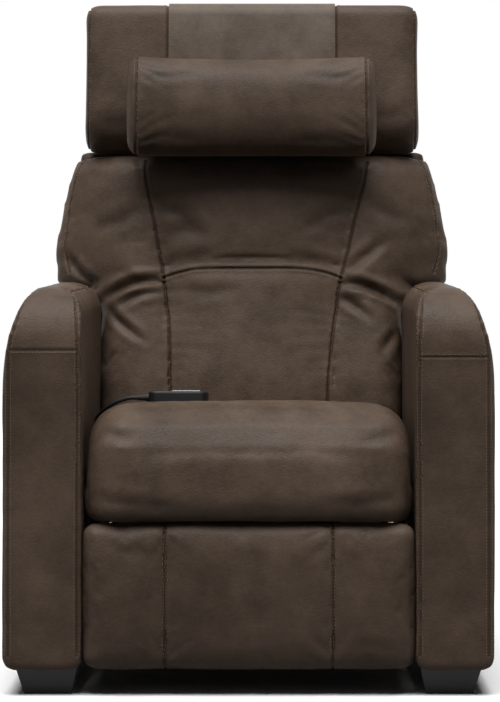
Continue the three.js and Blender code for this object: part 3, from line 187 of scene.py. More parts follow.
moulded = bpy.data.node_groups.new("moulded skin", "ShaderNodeTree")
moulded.interface.new_socket("Scale", in_out="INPUT", socket_type="NodeSocketFloat")
moulded.interface.new_socket("Wear", in_out="OUTPUT", socket_type="NodeSocketFloat")
moulded.interface.new_socket("Height", in_out="OUTPUT", socket_type="NodeSocketFloat")
given = moulded.nodes.new("NodeGroupInput")
place = put(moulded, "TexCoord").outputs["Object"]
fine = put(moulded, "TexNoise", {"Vector": place, "Scale": given.outputs[0], "Detail": 3.0})
broad = put(moulded, "TexNoise", {"Vector": place, "Scale": 24.0, "Detail": 4.0})
made = moulded.nodes.new("NodeGroupOutput")
moulded.links.new(broad.outputs[0], made.inputs["Wear"])
moulded.links.new(fine.outputs[0], made.inputs["Height"])


def moulded_material(name, deep, pale_tone, low_shine, high_shine, scale, depth, metal=0.0):
    """A moulded, cast or painted finish: two near tones in soft clouds over a fine skin."""
    material = bpy.data.materials.new(name)
    material.use_nodes = True
    tree = material.node_tree
    tree.nodes.clear()
    skin = tree.nodes.new("ShaderNodeGroup")
    skin.node_tree = moulded
    skin.inputs["Scale"].default_value = scale
    tone = put(tree, "Mix", {0: skin.outputs["Wear"], 6: deep, 7: pale_tone}, data_type="RGBA")
    wear = skin.outputs["Wear"]
    shine = put(tree, "MapRange", {"Value": wear, "To Min": low_shine, "To Max": high_shine})
    bump = put(tree, "Bump", {"Height": skin.outputs["Height"], "Distance": depth, "Strength": 0.6})
    surface = put(
        tree,
        "BsdfPrincipled",
        {
            "Base Color": tone.outputs[2],
            "Roughness": shine.outputs[0],
            "Metallic": metal,
            "Specular IOR Level": 0.25,
            "Normal": bump.outputs[0],
        },
    )
    put(tree, "OutputMaterial", {"Surface": surface.outputs[0]})
    return material


soft_rubber = moulded_material(
    "soft rubber", colour(20, 20, 21), colour(38, 38, 39), 0.5, 0.7, 900, 0.0001
)
put_material(handset_lead, soft_rubber)
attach(handset_lead, "seat")
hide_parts("handset_cord")


# Arms: foam over a timber box, under fitted leather. A panel runs up the front, over the top and
# down the rear between two long seams, and a level seam crosses it below the front's curve.

hide_group = bpy.data.node_groups.new("leather hide", "ShaderNodeTree")
for name, way in (
    ("Seam", "INPUT"),
    ("Grain", "INPUT"),
    ("Tone", "OUTPUT"),
    ("Shine", "OUTPUT"),
    ("Height", "OUTPUT"),
):
    hide_group.interface.new_socket(name, in_out=way, socket_type="NodeSocketFloat")


def blended(tree, first, second, share):
    """Two values mixed by a share of the second."""
    return put(tree, "Mix", {0: share, 2: first, 3: second}).outputs[0]


def build_hide(tree):
    """The hide's tone, shine and grain from its place on the piece, with painted shade near seams
    and folds.
    """
    given = tree.nodes.new("NodeGroupInput")
    made = tree.nodes.new("NodeGroupOutput")
    place = put(tree, "TexCoord").outputs["Object"]
    patchy = {"Vector": place, "Scale": 4.5, "Detail": 3.0, "Distortion": 0.6}
    patches = put(tree, "TexNoise", patchy)
    cloudy = {"Vector": place, "Scale": 19.0, "Detail": 6.0, "Roughness": 0.62}
    clouds = put(tree, "TexNoise", cloudy)
    flecky = {"Vector": place, "Scale": 120.0, "Detail": 4.0, "Roughness": 0.7}
    flecks = put(tree, "TexNoise", flecky)
    broad = blended(tree, patches.outputs[0], clouds.outputs[0], 0.55)
    specks = put(tree, "TexNoise", {"Vector": place, "Scale": 700.0, "Detail": 2.0})
    flecked = blended(tree, flecks.outputs[0], specks.outputs[0], 0.5)
    tone = blended(tree, broad, flecked, 0.26)
    spread = put(tree, "MapRange", {"Value": tone, "From Min": 0.36, "From Max": 0.64})
    # Painted shade: the tone darkens by the seam attribute, which press marks along seams and
    # folds.
    painted_seam_shade = {0: given.outputs["Seam"], 1: -0.8, 2: spread.outputs[0]}
    shaded = put(tree, "Math", painted_seam_shade, operation="MULTIPLY_ADD")
    tree.links.new(shaded.outputs[0], made.inputs["Tone"])
    drift = put(tree, "TexNoise", {"Vector": place, "Scale": 55.0, "Detail": 3.0})
    drifted = put(tree, "VectorMath", {0: drift.outputs[1], 3: 0.02}, operation="SCALE")
    moved = put(tree, "VectorMath", {0: place, 1: drifted.outputs[0]}, operation="ADD")
    close_cells = {"Vector": moved.outputs[0], "Scale": given.outputs["Grain"]}
    pebbles = put(tree, "TexVoronoi", close_cells, feature="SMOOTH_F1")
    wide = put(tree, "Math", {0: given.outputs["Grain"], 1: 0.27}, operation="MULTIPLY")
    wide_cells = {"Vector": moved.outputs[0], "Scale": wide.outputs[0]}
    lines = put(tree, "TexVoronoi", wide_cells, feature="DISTANCE_TO_EDGE")
    cracks = put(tree, "MapRange", {"Value": lines.outputs[0], "From Max": 0.12})
    soft = put(tree, "TexNoise", {"Vector": place, "Scale": 42.0, "Detail": 5.0, "Roughness": 0.55})
    grain = blended(tree, pebbles.outputs[0], cracks.outputs[0], 0.35)
    height = blended(tree, grain, soft.outputs[0], 0.22)
    tree.links.new(height, made.inputs["Height"])
    polish = {"From Min": 0.3, "From Max": 0.7, "To Min": 0.40, "To Max": 0.56}
    shine = put(tree, "MapRange", {"Value": clouds.outputs[0], **polish})
    tree.links.new(shine.outputs[0], made.inputs["Shine"])


build_hide(hide_group)


def leather_material(name, deep, pale_tone, grain, depth):
    """Dyed leather: cloudy brown, with painted shade in its seams and folds, and a fine pebbled
    grain.
    """
    material = bpy.data.materials.new(name)
    material.use_nodes = True
    tree = material.node_tree
    tree.nodes.clear()
    # The seam attribute carries painted shade, marked along seams and folds by press.
    seam = put(tree, "Attribute", attribute_name="seam").outputs["Fac"]
    skin = tree.nodes.new("ShaderNodeGroup")
    skin.node_tree = hide_group
    skin.inputs["Grain"].default_value = grain
    tree.links.new(seam, skin.inputs["Seam"])
    tones = {0: skin.outputs["Tone"], 6: deep, 7: pale_tone}
    tone = put(tree, "Mix", tones, data_type="RGBA", clamp_factor=True)
    bump = put(tree, "Bump", {"Height": skin.outputs["Height"], "Distance": depth, "Strength": 0.8})
    surface = put(
        tree,
        "BsdfPrincipled",
        {
            "Base Color": tone.outputs[2],
            "Roughness": skin.outputs["Shine"],
            "Specular IOR Level": 0.1,
            "Normal": bump.outputs[0],
        },
    )
    put(tree, "OutputMaterial", {"Surface": surface.outputs[0]})
    return material


brown_leather = leather_material(
    "brown leather", colour(55, 44, 35), colour(90, 75, 64), 430.0, 0.0006
)


def settle(piece):
    """Makes the piece's modifiers part of its mesh."""
    depsgraph = bpy.context.evaluated_depsgraph_get()
    made = bpy.data.meshes.new_from_object(piece.evaluated_get(depsgraph))
    piece.modifiers.clear()
    old = piece.data
    piece.data = made
    made.name = piece.name
    bpy.data.meshes.remove(old)


def solid_copy(node):
    """The node's solid as a mesh of its own, its loose triangles merged."""
    form = bmesh.new()
    form.from_mesh(nodes[node].data)
    bmesh.ops.remove_doubles(form, verts=form.verts, dist=1e-5)
    return form


def filled_out(form, fullness):
    """Fills a form out by an even margin, as its padding does."""
    form.normal_update()
    for vertex in form.verts:
        vertex.co += vertex.normal * fullness


def as_piece(form, name):
    """A form as an object at the origin."""
    mesh = bpy.data.meshes.new(name)
    form.to_mesh(mesh)
    form.free()
    piece = bpy.data.objects.new(name, mesh)
    scene.collection.objects.link(piece)
    return piece


def even_skin(form, name, mesh_size, easing, fullness=0.001):
    """A closed skin of small even faces over a form, eased by so many turns."""
    filled_out(form, fullness)
    piece = as_piece(form, name)
    skin = piece.modifiers.new("skin", "REMESH")
    skin.mode = "VOXEL"
    skin.voxel_size = mesh_size
    settle(piece)
    eased = bmesh.new()
    eased.from_mesh(piece.data)
    every_way = {"use_axis_x": True, "use_axis_y": True, "use_axis_z": True}
    for turn in range(easing):
        bmesh.ops.smooth_vert(eased, verts=eased.verts, factor=0.5, **every_way)
    eased.to_mesh(piece.data)
    eased.free()
    return piece


def swell(piece, held, push, slack, reach, moments=20):
    """Fills the leather out as cloth under pressure. Its held places stay, and no place moves
    further than the reach."""
    group = piece.vertex_groups.new(name="held")
    for vertex in piece.data.vertices:
        weight = float(held(vertex.co))
        if weight > 0:
            group.add([vertex.index], min(weight, 1), "REPLACE")
    start = np.array([vertex.co for vertex in piece.data.vertices])
    leather = piece.modifiers.new("leather", "CLOTH")
    leather.settings.quality = 3
    leather.settings.mass = 0.4
    leather.settings.tension_stiffness = 15
    leather.settings.compression_stiffness = 15
    leather.settings.shear_stiffness = 6
    leather.settings.bending_stiffness = 1.5
    leather.settings.use_pressure = True
    leather.settings.uniform_pressure_force = push
    leather.settings.shrink_min = -slack
    leather.settings.effector_weights.gravity = 0
    leather.settings.vertex_group_mass = "held"
    for moment in range(1, moments + 1):
        scene.frame_set(moment)
    depsgraph = bpy.context.evaluated_depsgraph_get()
    end = np.array([vertex.co for vertex in piece.evaluated_get(depsgraph).data.vertices])
    piece.modifiers.clear()
    piece.vertex_groups.clear()
    scene.frame_set(1)
    moved = end - start
    length = np.linalg.norm(moved, axis=1, keepdims=True)
    kept = np.minimum(length, reach) / np.maximum(length, 1e-9)
    piece.data.vertices.foreach_set("co", (start + moved * kept).astype(np.float32).ravel())
    piece.data.update()


def finer(piece, levels=1):
    """Divides the piece's faces into smooth smaller ones."""
    division = piece.modifiers.new("finer", "SUBSURF")
    division.levels = division.render_levels = levels
    settle(piece)


def skin_of(piece):
    """A piece's surface, to find places on it."""
    return BVHTree.FromObject(piece, bpy.context.evaluated_depsgraph_get())


def curved(points, gap):
    """Places an even gap apart on a smooth line through the points."""
    points = [Vector(point) for point in points]
    ends = [2 * points[0] - points[1], *points, 2 * points[-1] - points[-2]]
    dense = []
    for a, b, c, d in zip(ends, ends[1:], ends[2:], ends[3:]):
        steps = max(2, int((c - b).length / gap * 2))
        for step in range(steps):
            t = step / steps
            bend = (2 * a - 5 * b + 4 * c - d) * t * t
            twist = (3 * b - a - 3 * c + d) * t ** 3
            dense.append(0.5 * (2 * b + (c - a) * t + bend + twist))
    dense.append(points[-1])
    even, left = [dense[0]], gap
    for a, b in zip(dense, dense[1:]):
        span = (b - a).length
        while span > 0 and left <= span:
            even.append(a + (b - a) * (left / span))
            left += gap
        left -= span
    return even


def laid_on(skin, points, gap):
    """Places and normals on a skin along a line of points."""
    laid = []
    for place in curved(points, gap):
        laid.append(skin.find_nearest(place)[:2])
    return laid


fold_width = 0.006
# fold_shade: the painted shade of a fold, as a share of a seam's
fold_shade = 0.35
seam_edge = 0.0016
line_gap = 0.002
line_reach = 5
lip_place = 2.2
lip_height = 0.35
gather_scale = 110


def press(piece, lines):
    """Presses seams and folds into a skin and marks painted shade along them. Each line has its
    points, half width and depth, how deep its gathers are, and whether it fades at its ends."""
    skin = skin_of(piece)
    form = bmesh.new()
    form.from_mesh(piece.data)
    seam = form.verts.layers.float.get("seam") or form.verts.layers.float.new("seam")
    runs = []
    for points, width, depth, gather, fades in lines:
        laid = [place for place, normal in laid_on(skin, points, line_gap)]
        tree = KDTree(len(laid))
        for index, place in enumerate(laid):
            tree.insert(place, index)
        tree.balance()
        low = np.min(laid, axis=0) - line_reach * width
        high = np.max(laid, axis=0) + line_reach * width
        runs.append((tree, len(laid), low, high, width, depth, gather, fades))

    def beside(low, high):
        """The vertices in a box."""
        form.verts.ensure_lookup_table()
        places = np.array([vertex.co for vertex in form.verts])
        inside = ((places >= low) & (places <= high)).all(axis=1)
        return [form.verts[index] for index in np.nonzero(inside)[0]]

    for turn in range(2):
        close = set()
        for tree, count, low, high, width, depth, gather, fades in runs:
            if width < fold_width:
                band = lip_place * width
                close.update(v for v in beside(low, high) if tree.find(v.co)[2] < band)
        near = [edge for edge in form.edges if edge.verts[0] in close and edge.verts[1] in close]
        long = [edge for edge in near if edge.calc_length() > seam_edge]
        if long:
            bmesh.ops.subdivide_edges(form, edges=long, cuts=1, use_grid_fill=True)
    form.normal_update()
    for tree, count, low, high, width, depth, gather, fades in runs:
        for vertex in beside(low, high):
            place, index, distance = tree.find(vertex.co)
            if distance > line_reach * width:
                continue
            share = min(max(index / max(count - 1, 1), 0.02), 0.98)
            force = math.sin(math.pi * share) ** 0.6 if fades else 1
            sunk = math.exp(-((distance / width) ** 2))
            risen = lip_height * math.exp(-((distance / width - lip_place) ** 2))
            pucker = noise.noise(place * gather_scale)
            pull = gather * math.exp(-((distance / (4 * width)) ** 2)) * pucker
            vertex.co -= vertex.normal * (force * depth * (sunk - risen) + pull)
            # painted shade for the leather's colour: full in the grooves of seams and pressed
            # lines, weaker in folds
            painted_shade = sunk if width < fold_width else fold_shade * force * sunk
            vertex[seam] = max(vertex[seam], painted_shade)
    form.to_mesh(piece.data)
    form.free()
    piece.data.update()


def fold(width, depth, *points):
    """A soft fold through some points, which fades at its ends."""
    return points, width, depth, 0, True


def uneven(piece, height, scale, seed):
    """The small unevenness of hand-filled leather."""
    form = bmesh.new()
    form.from_mesh(piece.data)
    form.normal_update()
    away = Vector((seed, 2.3 * seed, -seed))
    for vertex in form.verts:
        swing = noise.noise(vertex.co * scale + away)
        swing += 0.5 * noise.noise(vertex.co * scale * 2.7 - away)
        vertex.co += vertex.normal * height * swing
    form.to_mesh(piece.data)
    form.free()
    piece.data.update()


thread_material = moulded_material(
    "waxed thread", colour(92, 77, 62), colour(124, 106, 88), 0.55, 0.75, 2200, 0.0001
)
stitch_halves = (0.00055, 0.00055, 0.0019)
stitch_gap = 0.0052
beside_seam = 0.0045
thread_form = bmesh.new()
bmesh.ops.create_uvsphere(thread_form, u_segments=6, v_segments=4, radius=1)
bmesh.ops.scale(thread_form, vec=stitch_halves, verts=thread_form.verts)
one_stitch = bpy.data.meshes.new("one_stitch")
thread_form.to_mesh(one_stitch)
thread_form.free()


def smooth(piece):
    """Shades the piece's faces as one smooth surface."""
    piece.data.polygons.foreach_set("use_smooth", [True] * len(piece.data.polygons))


def stitches(name, piece, rows, body, gap=stitch_gap):
    """Rows of stitches on a piece, each beside its line of points by so much."""
    skin = skin_of(piece)
    form = bmesh.new()
    for points, aside in rows:
        laid = laid_on(skin, points, gap)
        for (before, outward), (after, _) in zip(laid, laid[1:]):
            along = after - before
            if along.length < gap / 2:
                continue
            across = outward.cross(along).normalized()
            place, normal = skin.find_nearest((before + after) / 2 + across * aside)[:2]
            along = (along - normal * along.dot(normal)).normalized()
            across = normal.cross(along)
            turn = Matrix((across, normal, along)).transposed().to_4x4()
            turn.translation = place + normal * 0.0001
            laid_stitch = one_stitch.copy()
            laid_stitch.transform(turn)
            form.from_mesh(laid_stitch)
            bpy.data.meshes.remove(laid_stitch)
    sewn = as_piece(form, name)
    smooth(sewn)
    put_material(sewn, thread_material)
    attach(sewn, body)
    return sewn


def dress(piece, body, fill, *stood_for):
    """Finishes a padded leather piece."""
    put_material(piece, brown_leather)
    smooth(piece)
    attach(piece, body)
    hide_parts(*stood_for)


arm_front = -0.406
arm_rear = 0.184
arm_top = 0.656
arm_foot = 0.066
arm_front_round = 0.1
arm_rear_round = 0.054


def along_arm(side, stations):
    """A line up the arm's front, over its top and down its rear, at each station's distance
    from the chair's middle."""
    low, high, over, rear = stations
    front_turn = arm_top - arm_front_round
    points = [
        (low, arm_front, arm_foot), (low, arm_front, 0.3), (high, arm_front, front_turn - 0.06),
    ]
    for step in range(5):
        turn = math.radians(22.5 * step)
        share = step / 4
        across = high + (over - high) * share
        points.append((
            across,
            arm_front + arm_front_round * (1 - math.cos(turn)),
            front_turn + arm_front_round * math.sin(turn),
        ))
    points += [(over, -0.15, arm_top), (over, 0.05, arm_top)]
    for step in range(4):
        turn = math.radians(30 * step)
        points.append((
            over + (rear - over) * step / 3,
            arm_rear - arm_rear_round * (1 - math.sin(turn)),
            arm_top - arm_rear_round * (1 - math.cos(turn)),
        ))
    points += [(rear, arm_rear, 0.45), (rear, arm_rear, 0.25), (rear, arm_rear, arm_foot)]
    return [(side * x, y, z) for x, y, z in points]


def across_arm(side, level):
    """The level seam on the arm's front, between its two long seams."""
    return [(side * x, arm_front, level) for x in (0.2765, 0.305, 0.335, 0.360, 0.3855)]


def arm_lines(side, level):
    """The inner and outer long seams of an arm, and the level one."""
    return (
        along_arm(side, (0.2755, 0.2745, 0.2840, 0.276)),
        along_arm(side, (0.3865, 0.3855, 0.3500, 0.386)),
        across_arm(side, level),
    )


def tree_of(lines, gap):
    """Finds how near a place is to any of the lines."""
    places = [place for line in lines for place in curved(line, gap)]
    tree = KDTree(len(places))
    for index, place in enumerate(places):
        tree.insert(place, index)
    tree.balance()
    return tree


def outer_form(node):
    """The outside of a hollow solid that is nowhere drawn in, as one closed form."""
    form = solid_copy(node)
    hull = bmesh.ops.convex_hull(form, input=form.verts)
    spare = hull["geom_interior"] + hull["geom_unused"]
    inside = [part for part in spare if isinstance(part, bmesh.types.BMVert)]
    bmesh.ops.delete(form, geom=list(set(inside)), context="VERTS")
    outside = set(hull["geom"])
    old = [face for face in form.faces if face not in outside]
    bmesh.ops.delete(form, geom=old, context="FACES_ONLY")
    bmesh.ops.recalc_face_normals(form, faces=form.faces)
    return form


arm = even_skin(outer_form("arm_cover_left"), "arm_pad_left", 0.006, 2, 0.0015)
finer(arm)
other_arm = arm.data.copy()
other_arm.name = "arm_pad_right"
turned = bmesh.new()
turned.from_mesh(other_arm)
bmesh.ops.scale(turned, vec=(-1, 1, 1), verts=turned.verts)
bmesh.ops.reverse_faces(turned, faces=turned.faces)
turned.to_mesh(other_arm)
turned.free()
arm_right = bpy.data.objects.new("arm_pad_right", other_arm)
scene.collection.objects.link(arm_right)

for side, word, level, piece in ((-1, "left", 0.557, arm), (1, "right", 0.546, arm_right)):
    inner_line, outer_line, level_line = arm_lines(side, level)
    uneven(piece, 0.0011, 9, side * 3.1)
    press(piece, [
        (inner_line, 0.0018, 0.0018, 0.0004, False),
        (outer_line, 0.0018, 0.0014, 0.0004, False),
        (level_line, 0.0016, 0.0014, 0.0003, False),
    ])
    dress(piece, "base", 0.95, "arm_cover_" + word)
    stitches("arm_stitching_" + word, piece, [
        (inner_line, beside_seam),
        (inner_line, -beside_seam),
        (outer_line, beside_seam),
        (outer_line, -beside_seam),
        (level_line, beside_seam),
    ], "base")


# Feet: four tapered blocks of hard dark plastic, one under each end of each arm. They are
# screwed up into the arms' timber.


def finish(material, slot_name, *names):
    """Gives carried-over solids their finish and takes the sharpness off their edges."""
    for name in names:
        solid = nodes[name]
        put_material(solid, material)
        rounded = solid.modifiers.new("edges", "BEVEL")
        rounded.width = 0.0004
        rounded.segments = 1
        rounded.limit_method = "ANGLE"
        rounded.angle_limit = math.radians(40)


hard_plastic = moulded_material(
    "hard dark plastic", colour(19, 19, 21), colour(29, 29, 31), 0.45, 0.6, 700, 0.00015
)
feet = [f"foot_{end}_{side}" for end in ("front", "rear") for side in ("left", "right")]
finish(hard_plastic, "foot", *feet)


# Timber: plywood boxes in the arms, the seat's two rails, the footrest's board and the back's
# board, all glued birch ply with sawn faces.

sawn_ply = bpy.data.materials.new("sawn birch ply")
sawn_ply.use_nodes = True
ply = sawn_ply.node_tree
ply.nodes.clear()
ply_place = put(ply, "TexCoord").outputs["Object"]
stretched = put(ply, "Mapping", {"Vector": ply_place, "Scale": (3.0, 40.0, 40.0)})
sawn_grain = {"Vector": stretched.outputs[0], "Scale": 3.0, "Detail": 5.0, "Distortion": 1.2}
figure = put(ply, "TexNoise", sawn_grain)
blotches = put(ply, "TexNoise", {"Vector": ply_place, "Scale": 12.0, "Detail": 3.0})
ply_share = put(ply, "Mix", {0: 0.35, 2: figure.outputs[0], 3: blotches.outputs[0]})
ply_tone = put(
    ply,
    "Mix",
    {0: ply_share.outputs[0], 6: colour(150, 116, 78), 7: colour(206, 176, 132)},
    data_type="RGBA",
)
ply_bump = put(ply, "Bump", {"Height": figure.outputs[0], "Distance": 0.0004, "Strength": 0.5})
ply_shine = put(ply, "MapRange", {"Value": blotches.outputs[0], "To Min": 0.6, "To Max": 0.8})
ply_face = put(
    ply,
    "BsdfPrincipled",
    {
        "Base Color": ply_tone.outputs[2],
        "Roughness": ply_shine.outputs[0],
        "Normal": ply_bump.outputs[0],
    },
)
put(ply, "OutputMaterial", {"Surface": ply_face.outputs[0]})
finish(
    sawn_ply,
    "timber",
    "arm_frame_left",
    "arm_frame_right",
    "seat_front_rail",
    "seat_rear_rail",
    "footrest_board",
    "back_board",
)


# Steelwork: the base's rails and tubes, the lift and footrest links, the seat's side plates and
# springs, and both drives. Plate and tube, stoved satin black; the drive blocks are zinc plated.

satin_black = moulded_material(
    "satin black steel", colour(22, 22, 24), colour(44, 43, 44), 0.32, 0.55, 260, 0.0002, 0.35
)
zinc_plate = moulded_material(
    "zinc plated steel", colour(128, 130, 132), colour(176, 178, 178), 0.26, 0.44, 420, 0.0001, 0.95
)
black_starts = ("base_", "lift_", "seat_plate", "seat_cross", "back_bracket", "headrest_hinge")
black_names = [
    name for name in nodes
    if name.startswith(black_starts) or "_link_" in name or name.endswith("_tube")
]
finish(satin_black, "black_steel", *sorted(black_names))
seat_springs = [f"seat_spring_{place}" for place in (1, 2, 3)]
finish(zinc_plate, "zinc_steel", "recline_block", "footrest_block", *seat_springs)
drive_plastic = moulded_material(
    "ribbed drive plastic", colour(28, 28, 30), colour(46, 46, 48), 0.45, 0.6, 500, 0.0002
)
finish(drive_plastic, "black_plastic", "recline_drive", "footrest_drive", "cord_gland")


# Seat cushion: a deep foam block under fitted leather, crowned across and rolled over at the
# front. Its rear and its underside lie on the springs; its front edge is tucked and stapled.

seat = even_skin(solid_copy("seat_cushion"), "seat_pad", 0.007, 2, 0.0018)
swell(
    seat,
    lambda place: place.z < 0.33 and place.y > -0.38 or place.y > 0.075,
    push=4,
    slack=0.004,
    reach=0.003,
)
finer(seat)
uneven(seat, 0.0014, 7, 4.7)
uneven(seat, 0.0005, 26, 1.9)
seat_folds = [
    fold(0.009, 0.0022, (-0.235, -0.375, 0.425), (-0.215, -0.385, 0.418), (-0.185, -0.392, 0.414)),
    fold(0.009, 0.0022, (0.240, -0.370, 0.425), (0.215, -0.388, 0.415), (0.180, -0.395, 0.409)),
    fold(0.010, 0.0026, (-0.245, -0.405, 0.320), (-0.20, -0.412, 0.312), (-0.13, -0.414, 0.309)),
    fold(0.010, 0.0024, (0.245, -0.405, 0.322), (0.19, -0.412, 0.314), (0.12, -0.414, 0.312)),
    fold(0.016, 0.0014, (-0.17, -0.24, 0.458), (-0.12, -0.16, 0.458), (-0.09, -0.05, 0.45)),
    fold(0.016, 0.0014, (0.16, -0.26, 0.458), (0.13, -0.16, 0.456), (0.10, -0.04, 0.45)),
]
press(seat, seat_folds)
dress(seat, "seat", 0.9, "seat_cushion")


# Footrest: a thin pad of the same leather on its board, sewn in three panels by two upright
# seams.

rest = even_skin(solid_copy("footrest_pad"), "footrest_cushion", 0.005, 2, 0.002)


def down_footrest(x):
    """An upright seam of the footrest, from its top edge to its lower one."""
    return [(x, y, z) for y, z in (
        (-0.372, 0.273), (-0.400, 0.262), (-0.412, 0.22), (-0.412, 0.16),
        (-0.412, 0.09), (-0.400, 0.056), (-0.372, 0.046),
    )]


footrest_seams = (-0.134, 0.136)
swell(
    rest,
    lambda place: place.y > -0.368 or min(abs(place.x - x) for x in footrest_seams) < 0.005,
    push=4,
    slack=0.0,
    reach=0.003,
)
finer(rest)
uneven(rest, 0.0009, 8, 2.2)
press(rest, [
    *[(down_footrest(x), 0.0018, 0.0022, 0.0004, False) for x in footrest_seams],
    fold(0.009, 0.0009, (-0.245, -0.410, 0.262), (-0.20, -0.409, 0.240), (-0.15, -0.408, 0.232)),
    fold(0.009, 0.0009, (0.245, -0.410, 0.075), (0.21, -0.409, 0.084), (0.16, -0.408, 0.086)),
])
dress(rest, "footrest", 0.85, "footrest_pad")
stitches("footrest_stitching", rest, [
    (down_footrest(x), aside) for x in footrest_seams for aside in (-beside_seam, beside_seam)
], "footrest")


# Back cushion: a wide padded back with wings over the arms. Two long seams and an arched one
# across divide it into an upper, a lumbar and two side panels, sewn through to the board.

wing_plane = 0.185
ease = 0.02
measured_band = 0.012
flank_width = 0.064
flank_fullness = 0.0022
wing_drop = 0.016
drop_inner = 0.265
drop_across = 0.03
drop_top = 0.08
drop_up = 0.04


def fit_width(piece, outline, inner):
    """Brings a piece's two sides to half widths given at heights, fills it out between the arms
    and lets its wings down behind them. Nothing nearer the middle than the inner width moves."""
    places = np.array([vertex.co for vertex in piece.data.vertices])
    heights, halves = zip(*outline)
    for side in (-1, 1):
        reach = np.zeros(len(heights))
        for index, height in enumerate(heights):
            near = np.abs(places[:, 2] - height) < measured_band
            reach[index] = np.max(side * places[near, 0])
        wanted = np.interp(places[:, 2], heights, halves)
        there = np.interp(places[:, 2], heights, reach)
        share = np.clip((side * places[:, 0] - inner) / (there - inner), 0, 1)
        above = np.clip((places[:, 2] - heights[0]) / ease + 1, 0, 1)
        behind = np.clip((places[:, 1] - wing_plane) / ease, 0, 1)
        places[:, 0] += side * (wanted - there) * share ** 2 * above * behind
        beside_arm = np.clip((heights[0] - places[:, 2]) / ease, 0, 1)
        flank = np.clip((side * places[:, 0] - inner) / flank_width, 0, 1)
        places[:, 0] += side * flank_fullness * flank ** 2 * beside_arm
        outer = np.clip((side * places[:, 0] - drop_inner) / drop_across, 0, 1)
        lower = np.clip((heights[0] + drop_top - places[:, 2]) / drop_up, 0, 1)
        places[:, 2] -= wing_drop * outer * lower * behind
    piece.data.vertices.foreach_set("co", places.astype(np.float32).ravel())
    piece.data.update()


back = even_skin(solid_copy("back_cushion"), "back_pad", 0.007, 2, 0.002)
upper_left = [
    (-0.193, 0.240, 0.880), (-0.190, 0.228, 0.840), (-0.176, 0.212, 0.768),
    (-0.165, 0.203, 0.705), (-0.158, 0.190, 0.661),
]
upper_right = [
    (0.207, 0.238, 0.880), (0.203, 0.226, 0.840), (0.186, 0.209, 0.768),
    (0.172, 0.193, 0.705), (0.161, 0.186, 0.661),
]
arch = [
    (-0.158, 0.190, 0.661), (-0.128, 0.180, 0.673), (-0.092, 0.178, 0.680), (-0.003, 0.175, 0.681),
    (0.087, 0.178, 0.680), (0.132, 0.180, 0.673), (0.161, 0.186, 0.661),
]
lower_left = [
    (-0.158, 0.190, 0.661), (-0.152, 0.176, 0.625), (-0.147, 0.160, 0.589),
    (-0.145, 0.143, 0.536), (-0.143, 0.124, 0.466), (-0.142, 0.13, 0.40),
]
lower_right = [
    (0.161, 0.186, 0.661), (0.153, 0.179, 0.624), (0.148, 0.160, 0.589),
    (0.142, 0.137, 0.536), (0.136, 0.115, 0.466), (0.135, 0.12, 0.40),
]
back_seams = [upper_left, upper_right, arch, lower_left, lower_right]
back_lines = tree_of(back_seams, 0.004)
back_lean = math.tan(math.radians(13))


def held_to_board(place):
    """Whether the back's leather is fixed there, at its rear or beside a seam."""
    return place.y - (place.z - 0.3) * back_lean > 0.165 or back_lines.find(place)[2] < 0.010


